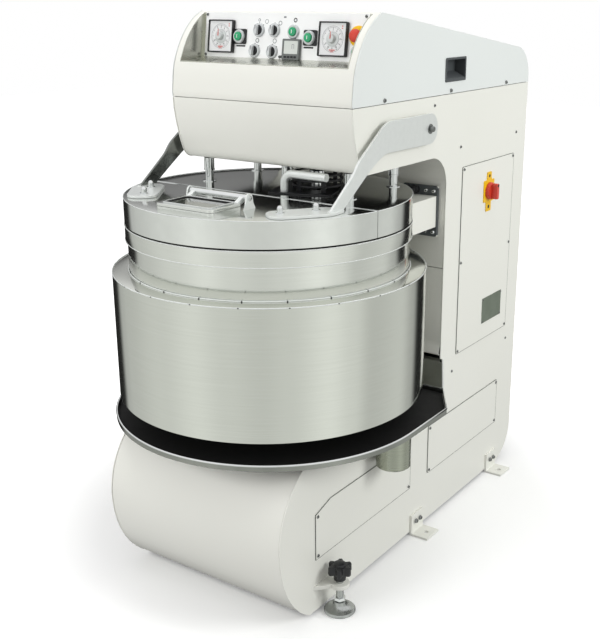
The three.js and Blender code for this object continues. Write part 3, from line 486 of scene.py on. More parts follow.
# Baked powder coat over steel sheet: semi-gloss, with a faint orange peel of 3 mm cells, drawn at 5 mm.
def powderCoat(name, light, dark):
    return grainedSkin(name, (light, dark), 0.36, (0.33, 0.4), 420, 5, 0.05)


# Moulded plastic: an even colour with a fine spark-eroded grain.
def mouldedPlastic(name, light, dark, roughness, grain=1.2, coat=0.0):
    span = (roughness * 0.9, roughness * 1.15)
    return grainedSkin(name, (light, dark), roughness, span, 30, grain, 0.04, coat)


# Rolled and satin-polished stainless: the grit leaves fine lines round the shell, drawn 2 mm high.
def satinStainless(name, light, dark, roughness, lines=(6, 6, 500), bump=0.02, metal=1.0):
    material, tree, shader = newMaterial(name, light, roughness, metal)
    noise = addNode(tree, "ShaderNodeTexNoise", {"Scale": 1.0, "Detail": 2.0}, {
        "Vector": objectPoints(tree, lines)})
    vary(tree, shader, noise, (light, dark), (roughness * 0.85, roughness * 1.2), noise, 0.2, bump)
    return material


bodyPaint = powderCoat("powderCoatWarmWhite", "#edede6", "#e8e8e0")  # warm white sheet with a soft sheen
hoodPaint = powderCoat("powderCoatCoolWhite", "#e6eae8", "#e1e5e3")  # cooler white on the hood cheeks
# bright drum with fine hoop lines
shellSteel = satinStainless("satinRolledStainless", "#e3e5e0", "#dadcd6", 0.13)
# slightly darker hoop-lined drum
skirtSteel = satinStainless("satinSkirtStainless", "#dadcd6", "#d1d3cc", 0.12)
lidSteel = satinStainless("polishedLidStainless", "#e6e8e5", "#dee0dd", 0.11, (30, 30, 30))  # near-mirror lid
# pale, dull flat bar
armSteel = satinStainless("blastedPlateStainless", "#e9ecea", "#e0e3e1", 0.3, (60, 60, 60), 0.03, 0.5)
# the arm steel made darker: painted dark reflection on the left arm's blade
paintedShadeArmSteel = satinStainless("armStainlessPaintedShade", "#8d908d", "#7c7f7c", 0.2, (60, 60, 60), 0.03)
# mirror-bright rods
chromed = satinStainless("chromedRoundBar", "#e2e4e4", "#d8dadb", 0.06, (40, 40, 40), 0.005)
traySteel = satinStainless("mirrorTrayStainless", "#9c9e99", "#8b8d88", 0.12, (20, 20, 20))  # dark mirror sheet
# turned, warm grey cups
housingSteel = satinStainless("turnedHousingStainless", "#a9ada0", "#9a9e90", 0.26, (8, 8, 400))
screwSteel = satinStainless("zincPlatedScrewSteel", "#8f9190", "#777a79", 0.3, (90, 90, 90))  # grey screw heads
# lines that run across the panel
panelSteel = satinStainless("brushedPanelStainless", "#d3d4ca", "#c3c4b9", 0.26, (300, 10, 10))
castGreyAndFlangeShade = mouldedPlastic("enamelledIronCastingAndFlangeShade", "#5b6062", "#4f5456", 0.6, 4)  # dull dark grey castings, and painted shade on the lid-support flanges
blackPlastic = mouldedPlastic("mouldedBlackNylon", "#131416", "#1c1d20", 0.38)  # soft black knobs
socketAndCrimpShade = mouldedPlastic("paintedSocketAndCrimpShade", "#0c0c0d", "#141414", 0.6)  # painted shade: dark holes in screw heads, and the skirt's crimp marks
guardBlack = mouldedPlastic("blackPowderCoatedRod", "#0d0e10", "#16171a", 0.42)  # satin black cage
gripGrey = mouldedPlastic("mouldedGreyAbs", "#4d5153", "#434749", 0.5)  # matt grey finger cups
bezelGrey = mouldedPlastic("mouldedMidGreyAbs", "#6d716f", "#626664", 0.45)  # mid-grey case
tireGrey = mouldedPlastic("castPolyamideWheel", "#26282a", "#1d1f21", 0.55)  # dull wheel
rubber = mouldedPlastic("mouldedNitrileRubber", "#0b0b0c", "#121213", 0.7)  # matt black seal and belts
trayFloorAndShadeBlack = mouldedPlastic("blackTrayFloorAndUndersideShade", "#050505", "#0a0a0a", 0.75)  # deep black floor of the tray, and painted shade on the head's underside
greenLens = mouldedPlastic("greenPolycarbonateLens", "#12a56c", "#0c9460", 0.2, coat=0.5)  # glossy green caps
redPlastic = mouldedPlastic("redMushroomNylon", "#d8402c", "#c93626", 0.35, coat=0.2)  # shiny orange-red caps
yellowPlastic = mouldedPlastic("yellowFilmedPlate", "#f2c412", "#e9b90c", 0.4)  # flat yellow ground
whiteFoil = mouldedPlastic("screenPrintedWhiteFoil", "#f7f8f7", "#f1f2f1", 0.35, 2)  # smooth white panel
dialWhite = mouldedPlastic("printedDialCard", "#e9eaea", "#e2e3e3", 0.5, 2)  # paper-like dial
blackInk = mouldedPlastic("blackScreenInk", "#1b1c1e", "#232427", 0.6)  # printed black
greyInk = mouldedPlastic("greyScreenInk", "#8d9092", "#85888a", 0.6)  # printed grey
redInk = mouldedPlastic("redScreenInk", "#d4584e", "#cc4d44", 0.6)  # printed red
paleScreen = mouldedPlastic("paleDisplayWindow", "#d9ddd8", "#ccd1cb", 0.15, coat=0.6)  # pale glossy window
# soft bright foot
footSteel = satinStainless("zincPlatedFootSteel", "#b9bcba", "#a6a9a7", 0.24, (60, 60, 60), 0.02, 0.85)
# fine lines on a grey plate
namePlate = satinStainless("etchedGreyPlate", "#97a093", "#868f82", 0.45, (200, 20, 20))
paleCap = mouldedPlastic("satinSilverAbs", "#d3d6d7", "#c8cbcc", 0.25, coat=0.4)  # silvery rings
seamShade = mouldedPlastic("shadedSheetEdge", "#7b7e78", "#72756f", 0.7)  # the dark line at a cover's edge
clearCap = mouldedPlastic("clearAcrylicKnob", "#cfd3d2", "#c4c8c7", 0.12, coat=0.8)  # glassy dial knob
# dark glossy pane
smokedGlass = mouldedPlastic("smokedPolycarbonatePane", "#4a4d47", "#3b3e38", 0.08, coat=0.8)
print("finishes ready")


# Body shells

body = {
    "halfWidth": 330, "sidePlate": 4, "sheet": 3, "rearY": 797, "columnFront": 193, "bottom": 12, "deck": 522,
    "panelSeam": 905, "underside": 1282, "hoodSeam": 1472, "hoodBottom": 1473.5, "throat": 100, "heel": 130,
    "inset": 1.2,
}
nose = {"y": -454, "z": 280, "radius": 264, "lower": 304}


def nosePath(steps=64):
    high = math.asin((body["deck"] - nose["z"]) / nose["radius"])
    low = -math.asin((nose["z"] - body["bottom"]) / nose["lower"])
    points = []
    for i in range(steps + 1):
        angle = high + (low - high) * i / steps
        height = nose["radius"] if angle > 0 else nose["lower"]
        points.append((nose["y"] - nose["radius"] * math.cos(angle), nose["z"] + height * math.sin(angle)))
    return points


def headFrontPath():
    face = bezier([(-359, body["hoodSeam"]), (-359, 1420), (-342, 1362), (-326, 1320)], 20)
    chin = bezier([(-326, 1320), (-313, body["underside"]), (-280, body["underside"])], 16)
    return face + chin[1:]


def hoodPath():
    front = splined([(-359, body["hoodBottom"]), (-359, 1499), (-346, 1575), (-307, 1648), (-258, 1698),
                     (-213, 1723)], 8)
    rear = arc(body["rearY"] - 110, 1490, 110, 82, 0, 20)
    return front + [(508, 1625)] + rear + [(body["rearY"], body["hoodBottom"])]


def throatPath():
    r = body["throat"]
    return arc(body["columnFront"] - r, body["underside"] - r, r, 90, 0, 24)


def heelPath():
    r = body["heel"]
    return arc(body["rearY"] - r, body["bottom"] + r, r, 270, 360, 24)


def sheetPiece(name, path, replaces, material=bodyPaint, reach=None, bevel=0.7):
    reach = reach or body["halfWidth"] - body["sidePlate"] - 0.8
    shape = prism(sheetOutline(path, body["sheet"] - body["inset"]), -reach, reach, sidePlace)
    return mounted(finished(name, shape, material, bevel), "machine", replaces)


def insetPath(path):
    return offsetPath(path, body["inset"])


def sidePlates():
    outline = (nosePath() + heelPath() + [(body["rearY"], body["hoodSeam"])] + headFrontPath()
               + throatPath() + [(body["columnFront"], body["deck"])])
    for side, sign in bothSides:
        low, high = sorted((sign * (body["halfWidth"] - body["sidePlate"]), sign * body["halfWidth"]))
        plate = finished(f"side_panel_{side}", prism(outline, low, high, sidePlace), bodyPaint, 1.1)
        mounted(plate, "machine", [f"side_plate_{side}"])


def bodyShells():
    sidePlates()
    sheetPiece("nose_skin", insetPath(nosePath()), ["nose_cover"])
    shaftHole = (spiral["x"], spiral["y"], 30, body["underside"] - 12, body["underside"] + 18)
    path = insetPath(headFrontPath() + [(body["columnFront"] - body["throat"] - 0.3, body["underside"])])
    reach = body["halfWidth"] - body["sidePlate"] - 0.8
    front = combined(prism(sheetOutline(path, 1.8), -reach, reach, sidePlace), roundHole(*shaftHole))
    mounted(finished("head_front_skin", front, bodyPaint, 0.6), "machine", ["head_front_shell"])
    # A black plate painted as the shade on the head's underside, with a hole for the spiral's shaft.
    reach = body["halfWidth"] - 7
    plate = prism(boxOutline(-reach, reach, -272, 84), body["underside"] - 1.6, body["underside"] - 0.2,
                  planPlace)
    plate = combined(plate, roundHole(*shaftHole))
    mounted(finished("underside_shade_plate", plate, trayFloorAndShadeBlack), "machine")
    sheetPiece("column_throat_skin", insetPath(throatPath() + [(body["columnFront"], body["panelSeam"] + 1)]),
               ["column_front_upper"])
    sheetPiece("column_foot_skin", insetPath(
        [(body["columnFront"], body["panelSeam"] - 1)]
        + softened([(body["columnFront"], 660), (body["columnFront"], 640), (181, 602), (198, 598)], 9)),
        ["column_front_lower"])
    sheetPiece("column_back_skin", insetPath(heelPath() + [(body["rearY"], body["hoodSeam"])]),
               ["column_rear_cover"])


# The hood: two flat sides with a bulging wrapper between them, and a fine shadow gap where they meet.
hood = {"side": 3, "gap": 1.3, "panelY": -242, "panelZ": 1586, "panelHalf": 305, "lean": 8, "panelHeight": 139}
grip = {"yLow": 164, "yHigh": 294, "zLow": 1513, "zHigh": 1581, "flange": 3, "depth": 38}


def panelCut():
    lean = math.radians(hood["lean"])
    y, z = hood["panelY"], hood["panelZ"]
    topY = y + hood["panelHeight"] * math.sin(lean)
    topZ = z + hood["panelHeight"] * math.cos(lean)
    return [(-420, z - 10), (y - 98, z - 10), (y, z), (topY, topZ), (topY + 4, 1760), (-420, 1760)]


def hoodPieces():
    half = body["halfWidth"]
    path = hoodPath()
    wrapper = prism(sheetOutline(offsetPath(path, -0.8), -2.2), -half + hood["side"] + hood["gap"],
                    half - hood["side"] - hood["gap"], sidePlace)
    opening = prism(panelCut(), -hood["panelHalf"], hood["panelHalf"], sidePlace)
    shell = finished("hood_wrapper", combined(wrapper, opening), bodyPaint, 0.5)
    mounted(shell, "machine", ["top_cover"])
    for side, sign in bothSides:
        low, high = sorted((sign * (half - hood["side"]), sign * half))
        cheek = combined(
            prism(path, low, high, sidePlace),
            prism(roundedBox(grip["yLow"], grip["yHigh"], grip["zLow"], grip["zHigh"], 4), low - 5, high + 5,
                  sidePlace))
        mounted(finished(f"hood_side_{side}", cheek, hoodPaint, 0.9), "machine", ["top_cover"])
        gripCup(side, sign)


# A moulded finger cup: a flange proud of the hood and a pocket with a sloping floor.
def gripCup(side, sign):
    g, half = grip, body["halfWidth"]
    outer = roundedBox(g["yLow"] - g["flange"], g["yHigh"] + g["flange"], g["zLow"] - g["flange"],
                       g["zHigh"] + g["flange"], 5)
    inner = roundedBox(g["yLow"] + 4, g["yHigh"] - 4, g["zLow"] + 4, g["zHigh"] - 4, 3)
    low, high = sorted((sign * (half + 0.3), sign * (half + 2.8)))
    flange = finished(f"grip_flange_{side}", framePrism(outer, inner, low, high, sidePlace), gripGrey, 0.8)
    mounted(flange, "machine")
    shell = roundedBox(g["yLow"] + 0.5, g["yHigh"] - 0.5, g["zLow"] + 0.5, g["zHigh"] - 0.5, 5)
    low, high = sorted((sign * (half - g["depth"]), sign * (half + 1)))
    cup = prism(shell, low, high, sidePlace)
    deep, mouth = sign * (half - g["depth"] + 3), sign * (half + 6)
    corners = [(deep, g["zLow"] + 26), (deep, g["zHigh"] - 4), (mouth, g["zHigh"] - 4), (mouth, g["zLow"] + 4)]
    slope = prism(corners, g["yLow"] + 4, g["yHigh"] - 4, frontPlace)
    pocket = finished(f"grip_cup_{side}", combined(cup, slope), gripGrey, 0.5)
    mounted(pocket, "machine", [f"grip_{side}"])


spiral = {"x": 104, "y": -206, "shaft": 22, "bar": 19, "reach": 141, "bottom": 676, "turns": 1.4, "top": 1080,
          "pulley": 60}
bodyShells()
hoodPieces()
print("body shells done")


# Bowl, skirt, tray and lids

bowl = {
    "centre": (0, -310), "radius": 424, "wall": 3, "rim": 430, "band": 1081, "top": 1128, "bottom": 640,
    "corner": 62, "skirt": 475, "skirtBottom": 599, "skirtTop": 985, "shoulder": 989, "ticks": 22,
}
lid = {"radius": 430, "bottom": 1133, "top": 1208, "wall": 3.5, "plate": 4, "split": -377}


def bowlPieces():
    b = bowl
    inner = b["radius"] - b["wall"]
    outerCorner = arc(b["radius"] - b["corner"], b["bottom"] + b["corner"], b["corner"], 270, 360, 10)
    innerCorner = arc(inner - b["corner"] + b["wall"], b["bottom"] + b["corner"], b["corner"] - b["wall"],
                      360, 270, 10)
    vessel = turned("bowl_vessel", [
        (0, b["bottom"]), *outerCorner, (b["radius"], b["band"] - 4), (b["radius"] + 1, b["band"] - 1),
        (b["rim"], b["band"]), (b["rim"] + 0.4, b["band"] + 2), (b["rim"], b["top"] - 3),
        (b["rim"] - 1.5, b["top"]), (inner + 1, b["top"]), (inner, b["top"] - 1.5), *innerCorner,
        (0, b["bottom"] + b["wall"])], b["centre"], shellSteel, 192)
    mounted(vessel, "bowl", ["bowl"])
    seat = b["radius"] + 0.3
    out = b["skirt"]
    profile = softened([
        (out - 3, b["skirtBottom"]), (out - 0.5, b["skirtBottom"]), (out, b["skirtBottom"] + 3),
        (out, b["skirtTop"]), (seat, b["shoulder"]), (seat, b["shoulder"] - 3), (out - 3, b["skirtTop"] - 3),
    ], 1.6, 3, closed=True)
    skirt = turned("bowl_skirt_shell", profile, b["centre"], skirtSteel, 192)
    mounted(skirt, "bowl", ["bowl_skirt"])
    # rolled beads on both edges of the shoulder, with dark marks painted as the shade of the crimps that part
    # them
    for name, radius, height, bead in (("outer", out - 0.8, b["skirtTop"] + 0.4, 1.9),
                                       ("inner", seat + 2.0, b["shoulder"] + 0.8, 2.2)):
        ring = beadRing(radius, height, bead)
        mounted(turned(f"skirt_bead_{name}", ring, b["centre"], armSteel, 192, 60), "bowl")
        marks = ringOfBars(f"skirt_crimps_{name}", b["ticks"], radius, (2 * bead + 0.2, 4, 2 * bead - 1), 0.05,
                           facingUp, (*b["centre"], height), socketAndCrimpShade)
        mounted(marks, "bowl")
    # bright rolled edges of the band that stiffens the bowl's rim
    for name, height in (("low", b["band"] + 1), ("top", b["top"] - 1.5)):
        ring = beadRing(b["rim"], height, 1.5)
        mounted(turned(f"rim_bead_{name}", ring, b["centre"], armSteel, 192, 60), "bowl")


def halfDisc(front):
    r = lid["radius"] + 40
    y = lid["split"]
    return boxOutline(-r, r, *((-900, y - 0.9) if front else (y + 0.9, 300)))


def lidPan():
    l = lid
    edge = softened([(l["radius"], l["bottom"]), (l["radius"], l["top"]), (l["radius"] - 60, l["top"])], 2.4, 3)
    profile = [(0, l["top"] - l["plate"]), (l["radius"] - l["wall"], l["top"] - l["plate"]),
               (l["radius"] - l["wall"], l["bottom"]), *edge, (0, l["top"])]
    pan = turned("lidPan", profile, bowl["centre"], lidSteel, 192)
    shape = bmesh.new()
    shape.from_mesh(pan.data)
    bpy.data.objects.remove(pan)
    return shape


hatch = {"xLow": -87, "xHigh": 117, "yLow": -708, "yHigh": -575, "rim": 20, "collar": 1220, "rodY": -556,
         "rodZ": 1238}
breaker = {"x": -72, "y": -124, "radius": 18, "bottom": 668}
pipe = {"x": 52, "y": -304, "radius": 12, "bend": 30, "z": 1266, "endX": 205}
posts = {"x": 265, "y": (-275, -32), "slim": 13, "thick": 16, "step": 1243}


def hatchRing(inset, radius):
    return roundedBox(hatch["xLow"] + inset, hatch["xHigh"] - inset, hatch["yLow"] + inset,
                      hatch["yHigh"] - inset, radius)


def lidPieces():
    rear = combined(lidPan(), prism(halfDisc(False), 1000, 1300, planPlace), "INTERSECT")
    for x, y, radius in ((spiral["x"], spiral["y"], 32), (breaker["x"], breaker["y"], 21),
                         (pipe["x"], pipe["y"], 13)):
        rear = combined(rear, roundHole(x, y, radius))
    mounted(finished("lid_rear_pan", rear, lidSteel, smooth=32), "machine", ["rear_lid"])
    front = combined(lidPan(), prism(halfDisc(True), 1000, 1300, planPlace), "INTERSECT")
    front = combined(front, prism(hatchRing(hatch["rim"], 12), 1180, 1250, planPlace))
    mounted(finished("lid_front_pan", front, lidSteel, smooth=32), "front_lid", ["front_lid"])
    # the bright folded edge along the split
    y = lid["split"]
    for name, low, high, owner in (("front", y - 3.4, y - 1.1, "front_lid"),
                                   ("rear", y + 1.1, y + 3.4, "machine")):
        reach = math.sqrt(lid["radius"] ** 2 - (y - bowl["centre"][1]) ** 2) - 2
        strip = prism(boxOutline(-reach, reach, low, high), lid["top"] - 1, lid["top"] + 1.2, planPlace)
        mounted(finished(f"lid_split_edge_{name}", strip, chromed, 0.5), owner)
    # the polished arris round the top of the lid, one length on each half
    halfSpan = math.degrees(math.asin((bowl["centre"][1] - y) / lid["radius"]))
    for name, start, end, owner in (("front", 180 + halfSpan, 360 - halfSpan, "front_lid"),
                                    ("rear", -halfSpan, 180 + halfSpan, "machine")):
        path = [(u, v, lid["top"] - 0.8) for u, v in arc(*bowl["centre"], lid["radius"] - 0.8, start + 0.3,
                                                         end - 0.3, 120)]
        mounted(swept(f"lid_arris_{name}", path, 1.3, armSteel, 8), owner)
    sleeve = posts["step"]
    for i, (x, y) in enumerate((x, y) for x in (-posts["x"], posts["x"]) for y in posts["y"]):
        top = body["underside"] - 0.4
        profile = [(0, lid["top"] - 1), (posts["slim"] + 9, lid["top"] - 1),
                   (posts["slim"] + 9, lid["top"] + 2.2),
                   (posts["slim"], lid["top"] + 3), (posts["slim"], sleeve), (posts["thick"] + 1.4, sleeve),
                   (posts["thick"] + 1.4, sleeve + 3), (posts["thick"], sleeve + 3.4), (posts["thick"], top),
                   (0, top)]
        mounted(turned(f"lid_post_{i + 1}", profile, (x, y), chromed, 40), "machine")


# The charging hatch: a welded collar, two ears, and a hinged frame with a smoked pane.
def hatchPieces():
    h = hatch
    collar = framePrism(hatchRing(0, 16), hatchRing(h["rim"], 10), lid["top"] - 1, h["collar"], planPlace)
    mounted(finished("hatch_collar", collar, lidSteel, 1.0), "front_lid")
    for i, x in enumerate((h["xLow"] - 7, h["xHigh"] + 2)):
        base = lid["top"] - 1
        ear = ([(h["rodY"] - 26, base), (h["rodY"] + 26, base), (h["rodY"] + 17, base + 16)]
               + arc(h["rodY"], h["rodZ"], 14, 20, 160, 12) + [(h["rodY"] - 17, base + 16)])
        mounted(finished(f"hatch_ear_{i + 1}", prism(ear, x, x + 5, sidePlace), armSteel, 1.0),
                "front_lid")
        pinX = x + (-2.5 if i == 0 else 5)
        place = turnedTo(pinX, h["rodY"], h["rodZ"], math.pi / 2, "Y")
        mounted(turned(f"hatch_pin_head_{i + 1}", [(0, 0), (8, 0), (8, 1.6), (6.5, 2.5), (0, 2.5)], (0, 0),
                       chromed, 24, place=place), "hatch")
    low = h["collar"] + 0.3
    ring = framePrism(hatchRing(0, 16), hatchRing(h["rim"], 10), low, low + 8, planPlace)
    mounted(finished("hatch_frame", ring, lidSteel, 1.6), "hatch", ["hatch_flap"])
    bead = framePrism(hatchRing(h["rim"] - 7, 12), hatchRing(h["rim"] - 1, 10), low + 6, low + 11.5, planPlace)
    mounted(finished("hatch_frame_bead", bead, chromed, 1.2), "hatch")
    seal = framePrism(hatchRing(h["rim"] - 1.5, 11), hatchRing(h["rim"] + 4, 9), low + 3, low + 9.5, planPlace)
    mounted(finished("hatch_seal", seal, rubber, 0.5), "hatch")
    ends = [(x, h["rodY"], h["rodZ"]) for x in (h["xLow"] + 0.5, h["xHigh"] - 0.5)]
    rod = swept("hatch_rod", ends, 9.5, chromed, 28)
    mounted(rod, "hatch")
    for i, x in enumerate((h["xLow"] + 8, h["xHigh"] - 22)):
        lug = [(h["yHigh"] - 14, low + 1), (h["yHigh"] - 1, low + 1), (h["rodY"] + 6, h["rodZ"] - 5),
               (h["rodY"] - 2, h["rodZ"] + 7), (h["yHigh"] - 14, low + 9)]
        mounted(finished(f"hatch_lug_{i + 1}", prism(lug, x, x + 14, sidePlace), armSteel, 0.8),
                "hatch")


tray = {"radius": 500, "y": -297, "sideY": -76, "rearX": 412, "rearY": 66, "floor": 522.3, "lip": 540,
        "sheet": 3, "rampX": 342, "rampY": 190, "rampZ": 590, "roll": 3.2}
roller = {"x": 390, "y": -211, "radius": 54, "low": 372}


def trayOutline(inset):
    t = tray
    radius = t["radius"] - inset
    rearX, rearY = t["rearX"] - inset * 0.8, t["rearY"] - inset
    return (arc(0, t["y"], radius, 180, 360, 96) + [(radius, t["sideY"])]
            + [(rearX, rearY), (-rearX, rearY), (-radius, t["sideY"])])


def trayPieces():
    t = tray
    pan = framePrism(trayOutline(0), trayOutline(t["sheet"]), t["floor"], t["lip"], planPlace)
    mounted(finished("tray_wall", pan, traySteel, 0.6), "machine", ["drip_tray"])
    base = prism(trayOutline(t["sheet"] + 0.3), t["floor"], t["floor"] + 3, planPlace)
    base = combined(base, roundHole(*bowl["centre"], 80, t["floor"] - 5, t["lip"]))
    mounted(finished("tray_floor", base, trayFloorAndShadeBlack, 0.5), "machine")
    lip = swept("tray_rolled_lip", [(x, y, t["lip"] - 1) for x, y in trayOutline(1.8)], t["roll"], chromed, 14,
                True)
    mounted(lip, "machine")
    low, high = t["rearY"], t["rampY"]
    slope = (t["rampZ"] - t["lip"]) / (high - low)
    corners = [(-t["rearX"], low), (t["rearX"], low), (t["rampX"], high), (-t["rampX"], high)]
    ramp = prism(corners, 0, -2.6, lambda u, v, w: (u, v, t["lip"] + (v - low) * slope + w))
    mounted(finished("tray_ramp", ramp, traySteel, 0.5), "machine")
    for side, sign in bothSides:
        edge = swept(f"tray_ramp_edge_{side}", [
            (sign * (t["rearX"] - 2), low - 2, t["lip"] - 1),
            (sign * (t["rampX"] - 1), high - 2, t["rampZ"] - 1),
        ], t["roll"], armSteel, 12)
        mounted(edge, "machine")
    for side, sign in bothSides:
        r = roller["radius"]
        profile = [(0, roller["low"]), (r - 3, roller["low"]), (r, roller["low"] + 3), (r, t["floor"] - 0.4),
                   (r - 4, t["floor"] - 0.4), (r - 4, roller["low"] + 4), (0, roller["low"] + 4)]
        piece = turned(f"roller_cup_{side}", profile, (sign * roller["x"], roller["y"]), housingSteel, 64)
        mounted(piece, "machine", [f"roller_housing_{side}"])


bowlPieces()
lidPieces()
hatchPieces()
trayPieces()
print("bowl, lids and tray done")


# Lid arms and supports

arm = {
    "inner": 345, "thick": 8, "pivotY": 35, "pivotZ": 1382, "eye": 47, "nuts": [(248, -583), (304, -497)],
    "upperEdge": [(0, 1430), (-205, 1427), (-234, 1416), (-362, 1330), (-384, 1302)],
    "lowerEdge": [(-419, 1224), (-341, 1276), (-288, 1309), (-225, 1338), (30, 1336)],
    "foot": [(366, -440), (366, -512), (281, -622), (252, -632), (214, -606), (204, -575), (300, -440)],
}
support = {
    "outer": (171.4, 304.6, 1011.4, 1178.6), "inner": (180.6, 299.4, 1045.6, 1146.4),
    "flange": (183.2, 192.8), "boltX": (262, 290), "boltZ": (1026, 1162), "glandX": (192, 224), "glandZ": 1163,
}


def armPieces():
    a = arm
    top = lid["top"] + 0.3
    outline = (arc(a["pivotY"], a["pivotZ"], a["eye"], -80, 78, 24)
               + softened(a["upperEdge"] + [(-509, top)], 26, 6)[1:]
               + softened([(-443, top)] + a["lowerEdge"], 26, 6)[:-1])
    foot = softened(a["foot"], 22, 6, closed=True)
    for side, sign in bothSides:
        low, high = sorted((sign * a["inner"], sign * (a["inner"] + a["thick"])))
        # The left blade takes the darker copy of the arm steel, a painted dark reflection.
        blade = finished(f"arm_blade_{side}", prism(outline, low, high, sidePlace),
                         armSteel if sign > 0 else paintedShadeArmSteel, 1.4)
        mounted(blade, "front_lid", [f"lid_arm_{side}"])
        plate = prism([(sign * x, y) for x, y in foot], top, top + 8, planPlace)
        mounted(finished(f"arm_foot_{side}", plate, armSteel, 1.8), "front_lid")
        weld = swept(f"arm_weld_{side}", [(sign * (a["inner"] + 4), y, top + 8) for y in (-505, -445)], 3,
                     armSteel, 10)
        mounted(weld, "front_lid")
        for i, (x, y) in enumerate(a["nuts"]):
            dome = [(0, top + 8), (12, top + 8), (12, top + 10), (8.5, top + 10.5), (8.5, top + 20)]
            dome += [(8.5 * math.cos(t), top + 20 + 9 * math.sin(t)) for t in (0.3, 0.6, 0.9, 1.2)]
            dome += [(0, top + 29)]
            nut = turned(f"arm_nut_{side}_{i + 1}", dome, (sign * x, y), chromed, 32)
            mounted(nut, "front_lid")
        place = turnedTo(sign * (body["halfWidth"] + 1.5), a["pivotY"], a["pivotZ"], sign * math.pi / 2, "Y")
        boss = turned(f"arm_boss_{side}", boxOutline(0, 21, 0, 13), (0, 0), chromed, 48, place=place)
        mounted(boss, "front_lid")
        stud = [(0, 21), (15, 21), (15, 23), (8.5, 23.4), (8.5, 33), (7, 35), (0, 35)]
        bolt = turned(f"arm_pivot_bolt_{side}", stud, (0, 0), screwSteel, 32, place=place)
        mounted(bolt, "front_lid")


# The beams that carry the rear of the lid, with their bolted flanges under a dark grey frame of painted shade.
def supportPieces():
    for side, sign in bothSides:
        outer, inner = roundedBox(*support["outer"], 9, 4), roundedBox(*support["inner"], 3, 4)
        # A dark grey frame over the white flange: painted shade.
        rim = framePrism(outer, inner, *support["flange"], lambda u, v, w: (sign * u, w, v))
        mounted(finished(f"support_flange_shade_{side}", rim, castGreyAndFlangeShade, 0.8), "machine")
        points = [(sign * x, 182, z) for x in support["boltX"] for z in support["boltZ"]]
        bolts = screws(f"support_bolts_{side}", points, 7, 4, facingFront, chromed, socketAndCrimpShade)
        mounted(bolts, "machine")
        for i, x in enumerate(support["glandX"]):
            place = turnedTo(sign * x, 183.4, support["glandZ"], math.pi / 2, "X")
            profile = [(0, 0), (14, 0), (14, 12), (11, 14), (11, 26), (7, 29), (0, 29)]
            gland = turned(f"support_gland_{side}_{i + 1}", profile, (0, 0), blackPlastic, 32, place=place)
            mounted(gland, "machine")


armPieces()
supportPieces()


# Tools in the bowl, the guard and the water pipe

def smoothstep(value, low, high):
    t = min(max((value - low) / (high - low), 0), 1)
    return t * t * (3 - 2 * t)


def spiralPath(steps=160):
    s = spiral
    points = []
    for i in range(steps + 1):
        t = i / steps
        rise, fall = smoothstep(t, 0, 0.2), 1 - smoothstep(t, 0.82, 1)
        radius = s["reach"] * math.sin(math.pi / 2 * rise) * (0.12 + 0.88 * fall)
        angle = s["turns"] * 2 * math.pi * t
        z = s["top"] + (s["bottom"] - s["top"]) * smoothstep(t, -0.12, 0.9)
        points.append((s["x"] + radius * math.cos(angle), s["y"] + radius * math.sin(angle), z))
    return points


def pulleyProfile(radius, shaft, low, height, shaftLow, shaftHigh):
    profile = [(0, shaftLow)]
    if shaftLow < low:
        profile += [(shaft, shaftLow), (shaft, low)]
    profile += [(radius + 5, low), (radius + 5, low + 4), (radius, low + 8)]
    profile += [(radius, low + height - 8), (radius + 5, low + height - 4), (radius + 5, low + height)]
    if shaftHigh > low + height:
        profile += [(shaft, low + height), (shaft, shaftHigh)]
    return profile + [(0, shaftHigh)]


def toolPieces():
    s = spiral
    hook = swept("spiral_hook", spiralPath(), s["bar"], chromed, 24)
    mounted(hook, "spiral", ["spiral"])
    profile = pulleyProfile(s["pulley"], s["shaft"], 1395, 40, 1060, 1435)
    shaft = turned("spiral_shaft", profile, (s["x"], s["y"]), chromed, 64)
    mounted(shaft, "spiral")
    b = breaker
    bar = [(0, b["bottom"]), (b["radius"] - 6, b["bottom"]), (b["radius"] - 2, b["bottom"] + 2),
           (b["radius"], b["bottom"] + 8), (b["radius"], body["underside"] - 0.4), (0, body["underside"] - 0.4)]
    post = turned("breaker_post", bar, (b["x"], b["y"]), chromed, 48)
    mounted(post, "machine", ["breaker_bar"])
    p = pipe
    path = ([(p["x"], p["y"], z) for z in (1196, p["z"] - p["bend"])]
            + [(x, p["y"], z) for x, z in arc(p["x"] + p["bend"], p["z"] - p["bend"], p["bend"], 172, 90, 12)]
            + [(p["endX"], p["y"], p["z"])])
    mounted(swept("filling_pipe", path, p["radius"], armSteel, 28), "machine", ["water_pipe"])


# The cage round the spiral's shaft: a square plate, rings and flat uprights.
cage = {"turn": 18.5, "radius": 78, "uprights": 6, "rings": (1224, 1241, 1257), "ring": 6}


def guardPieces():
    g = cage
    turn = math.radians(g["turn"])
    square = roundedBox(-97, 97, -105, 100, 5, 4)
    outline = [(79 + x * math.cos(turn) - y * math.sin(turn), -214 + x * math.sin(turn) + y * math.cos(turn))
               for x, y in square]
    base = prism(outline, lid["top"] + 0.4, lid["top"] + 4, planPlace)
    for x, y, radius in ((spiral["x"], spiral["y"], 32), (pipe["x"], pipe["y"], 13)):
        base = combined(base, roundHole(x, y, radius))
    mounted(finished("guard_base", base, guardBlack, 0.7), "machine", ["spiral_guard"])
    for i, z in enumerate(g["rings"]):
        r = g["radius"]
        profile = softened([(r - 5, z), (r, z), (r, z + g["ring"]), (r - 5, z + g["ring"])], 1, 2, closed=True)
        ring = turned(f"guard_ring_{i + 1}", profile, (spiral["x"], spiral["y"]), guardBlack, 72)
        mounted(ring, "machine")
    low, high = lid["top"] + 3, g["rings"][-1] + 5
    uprights = ringOfBars("guard_uprights", g["uprights"], g["radius"] - 4, (4, 15, high - low), turn, facingUp,
                          (spiral["x"], spiral["y"], (low + high) / 2), guardBlack)
    mounted(uprights, "machine")


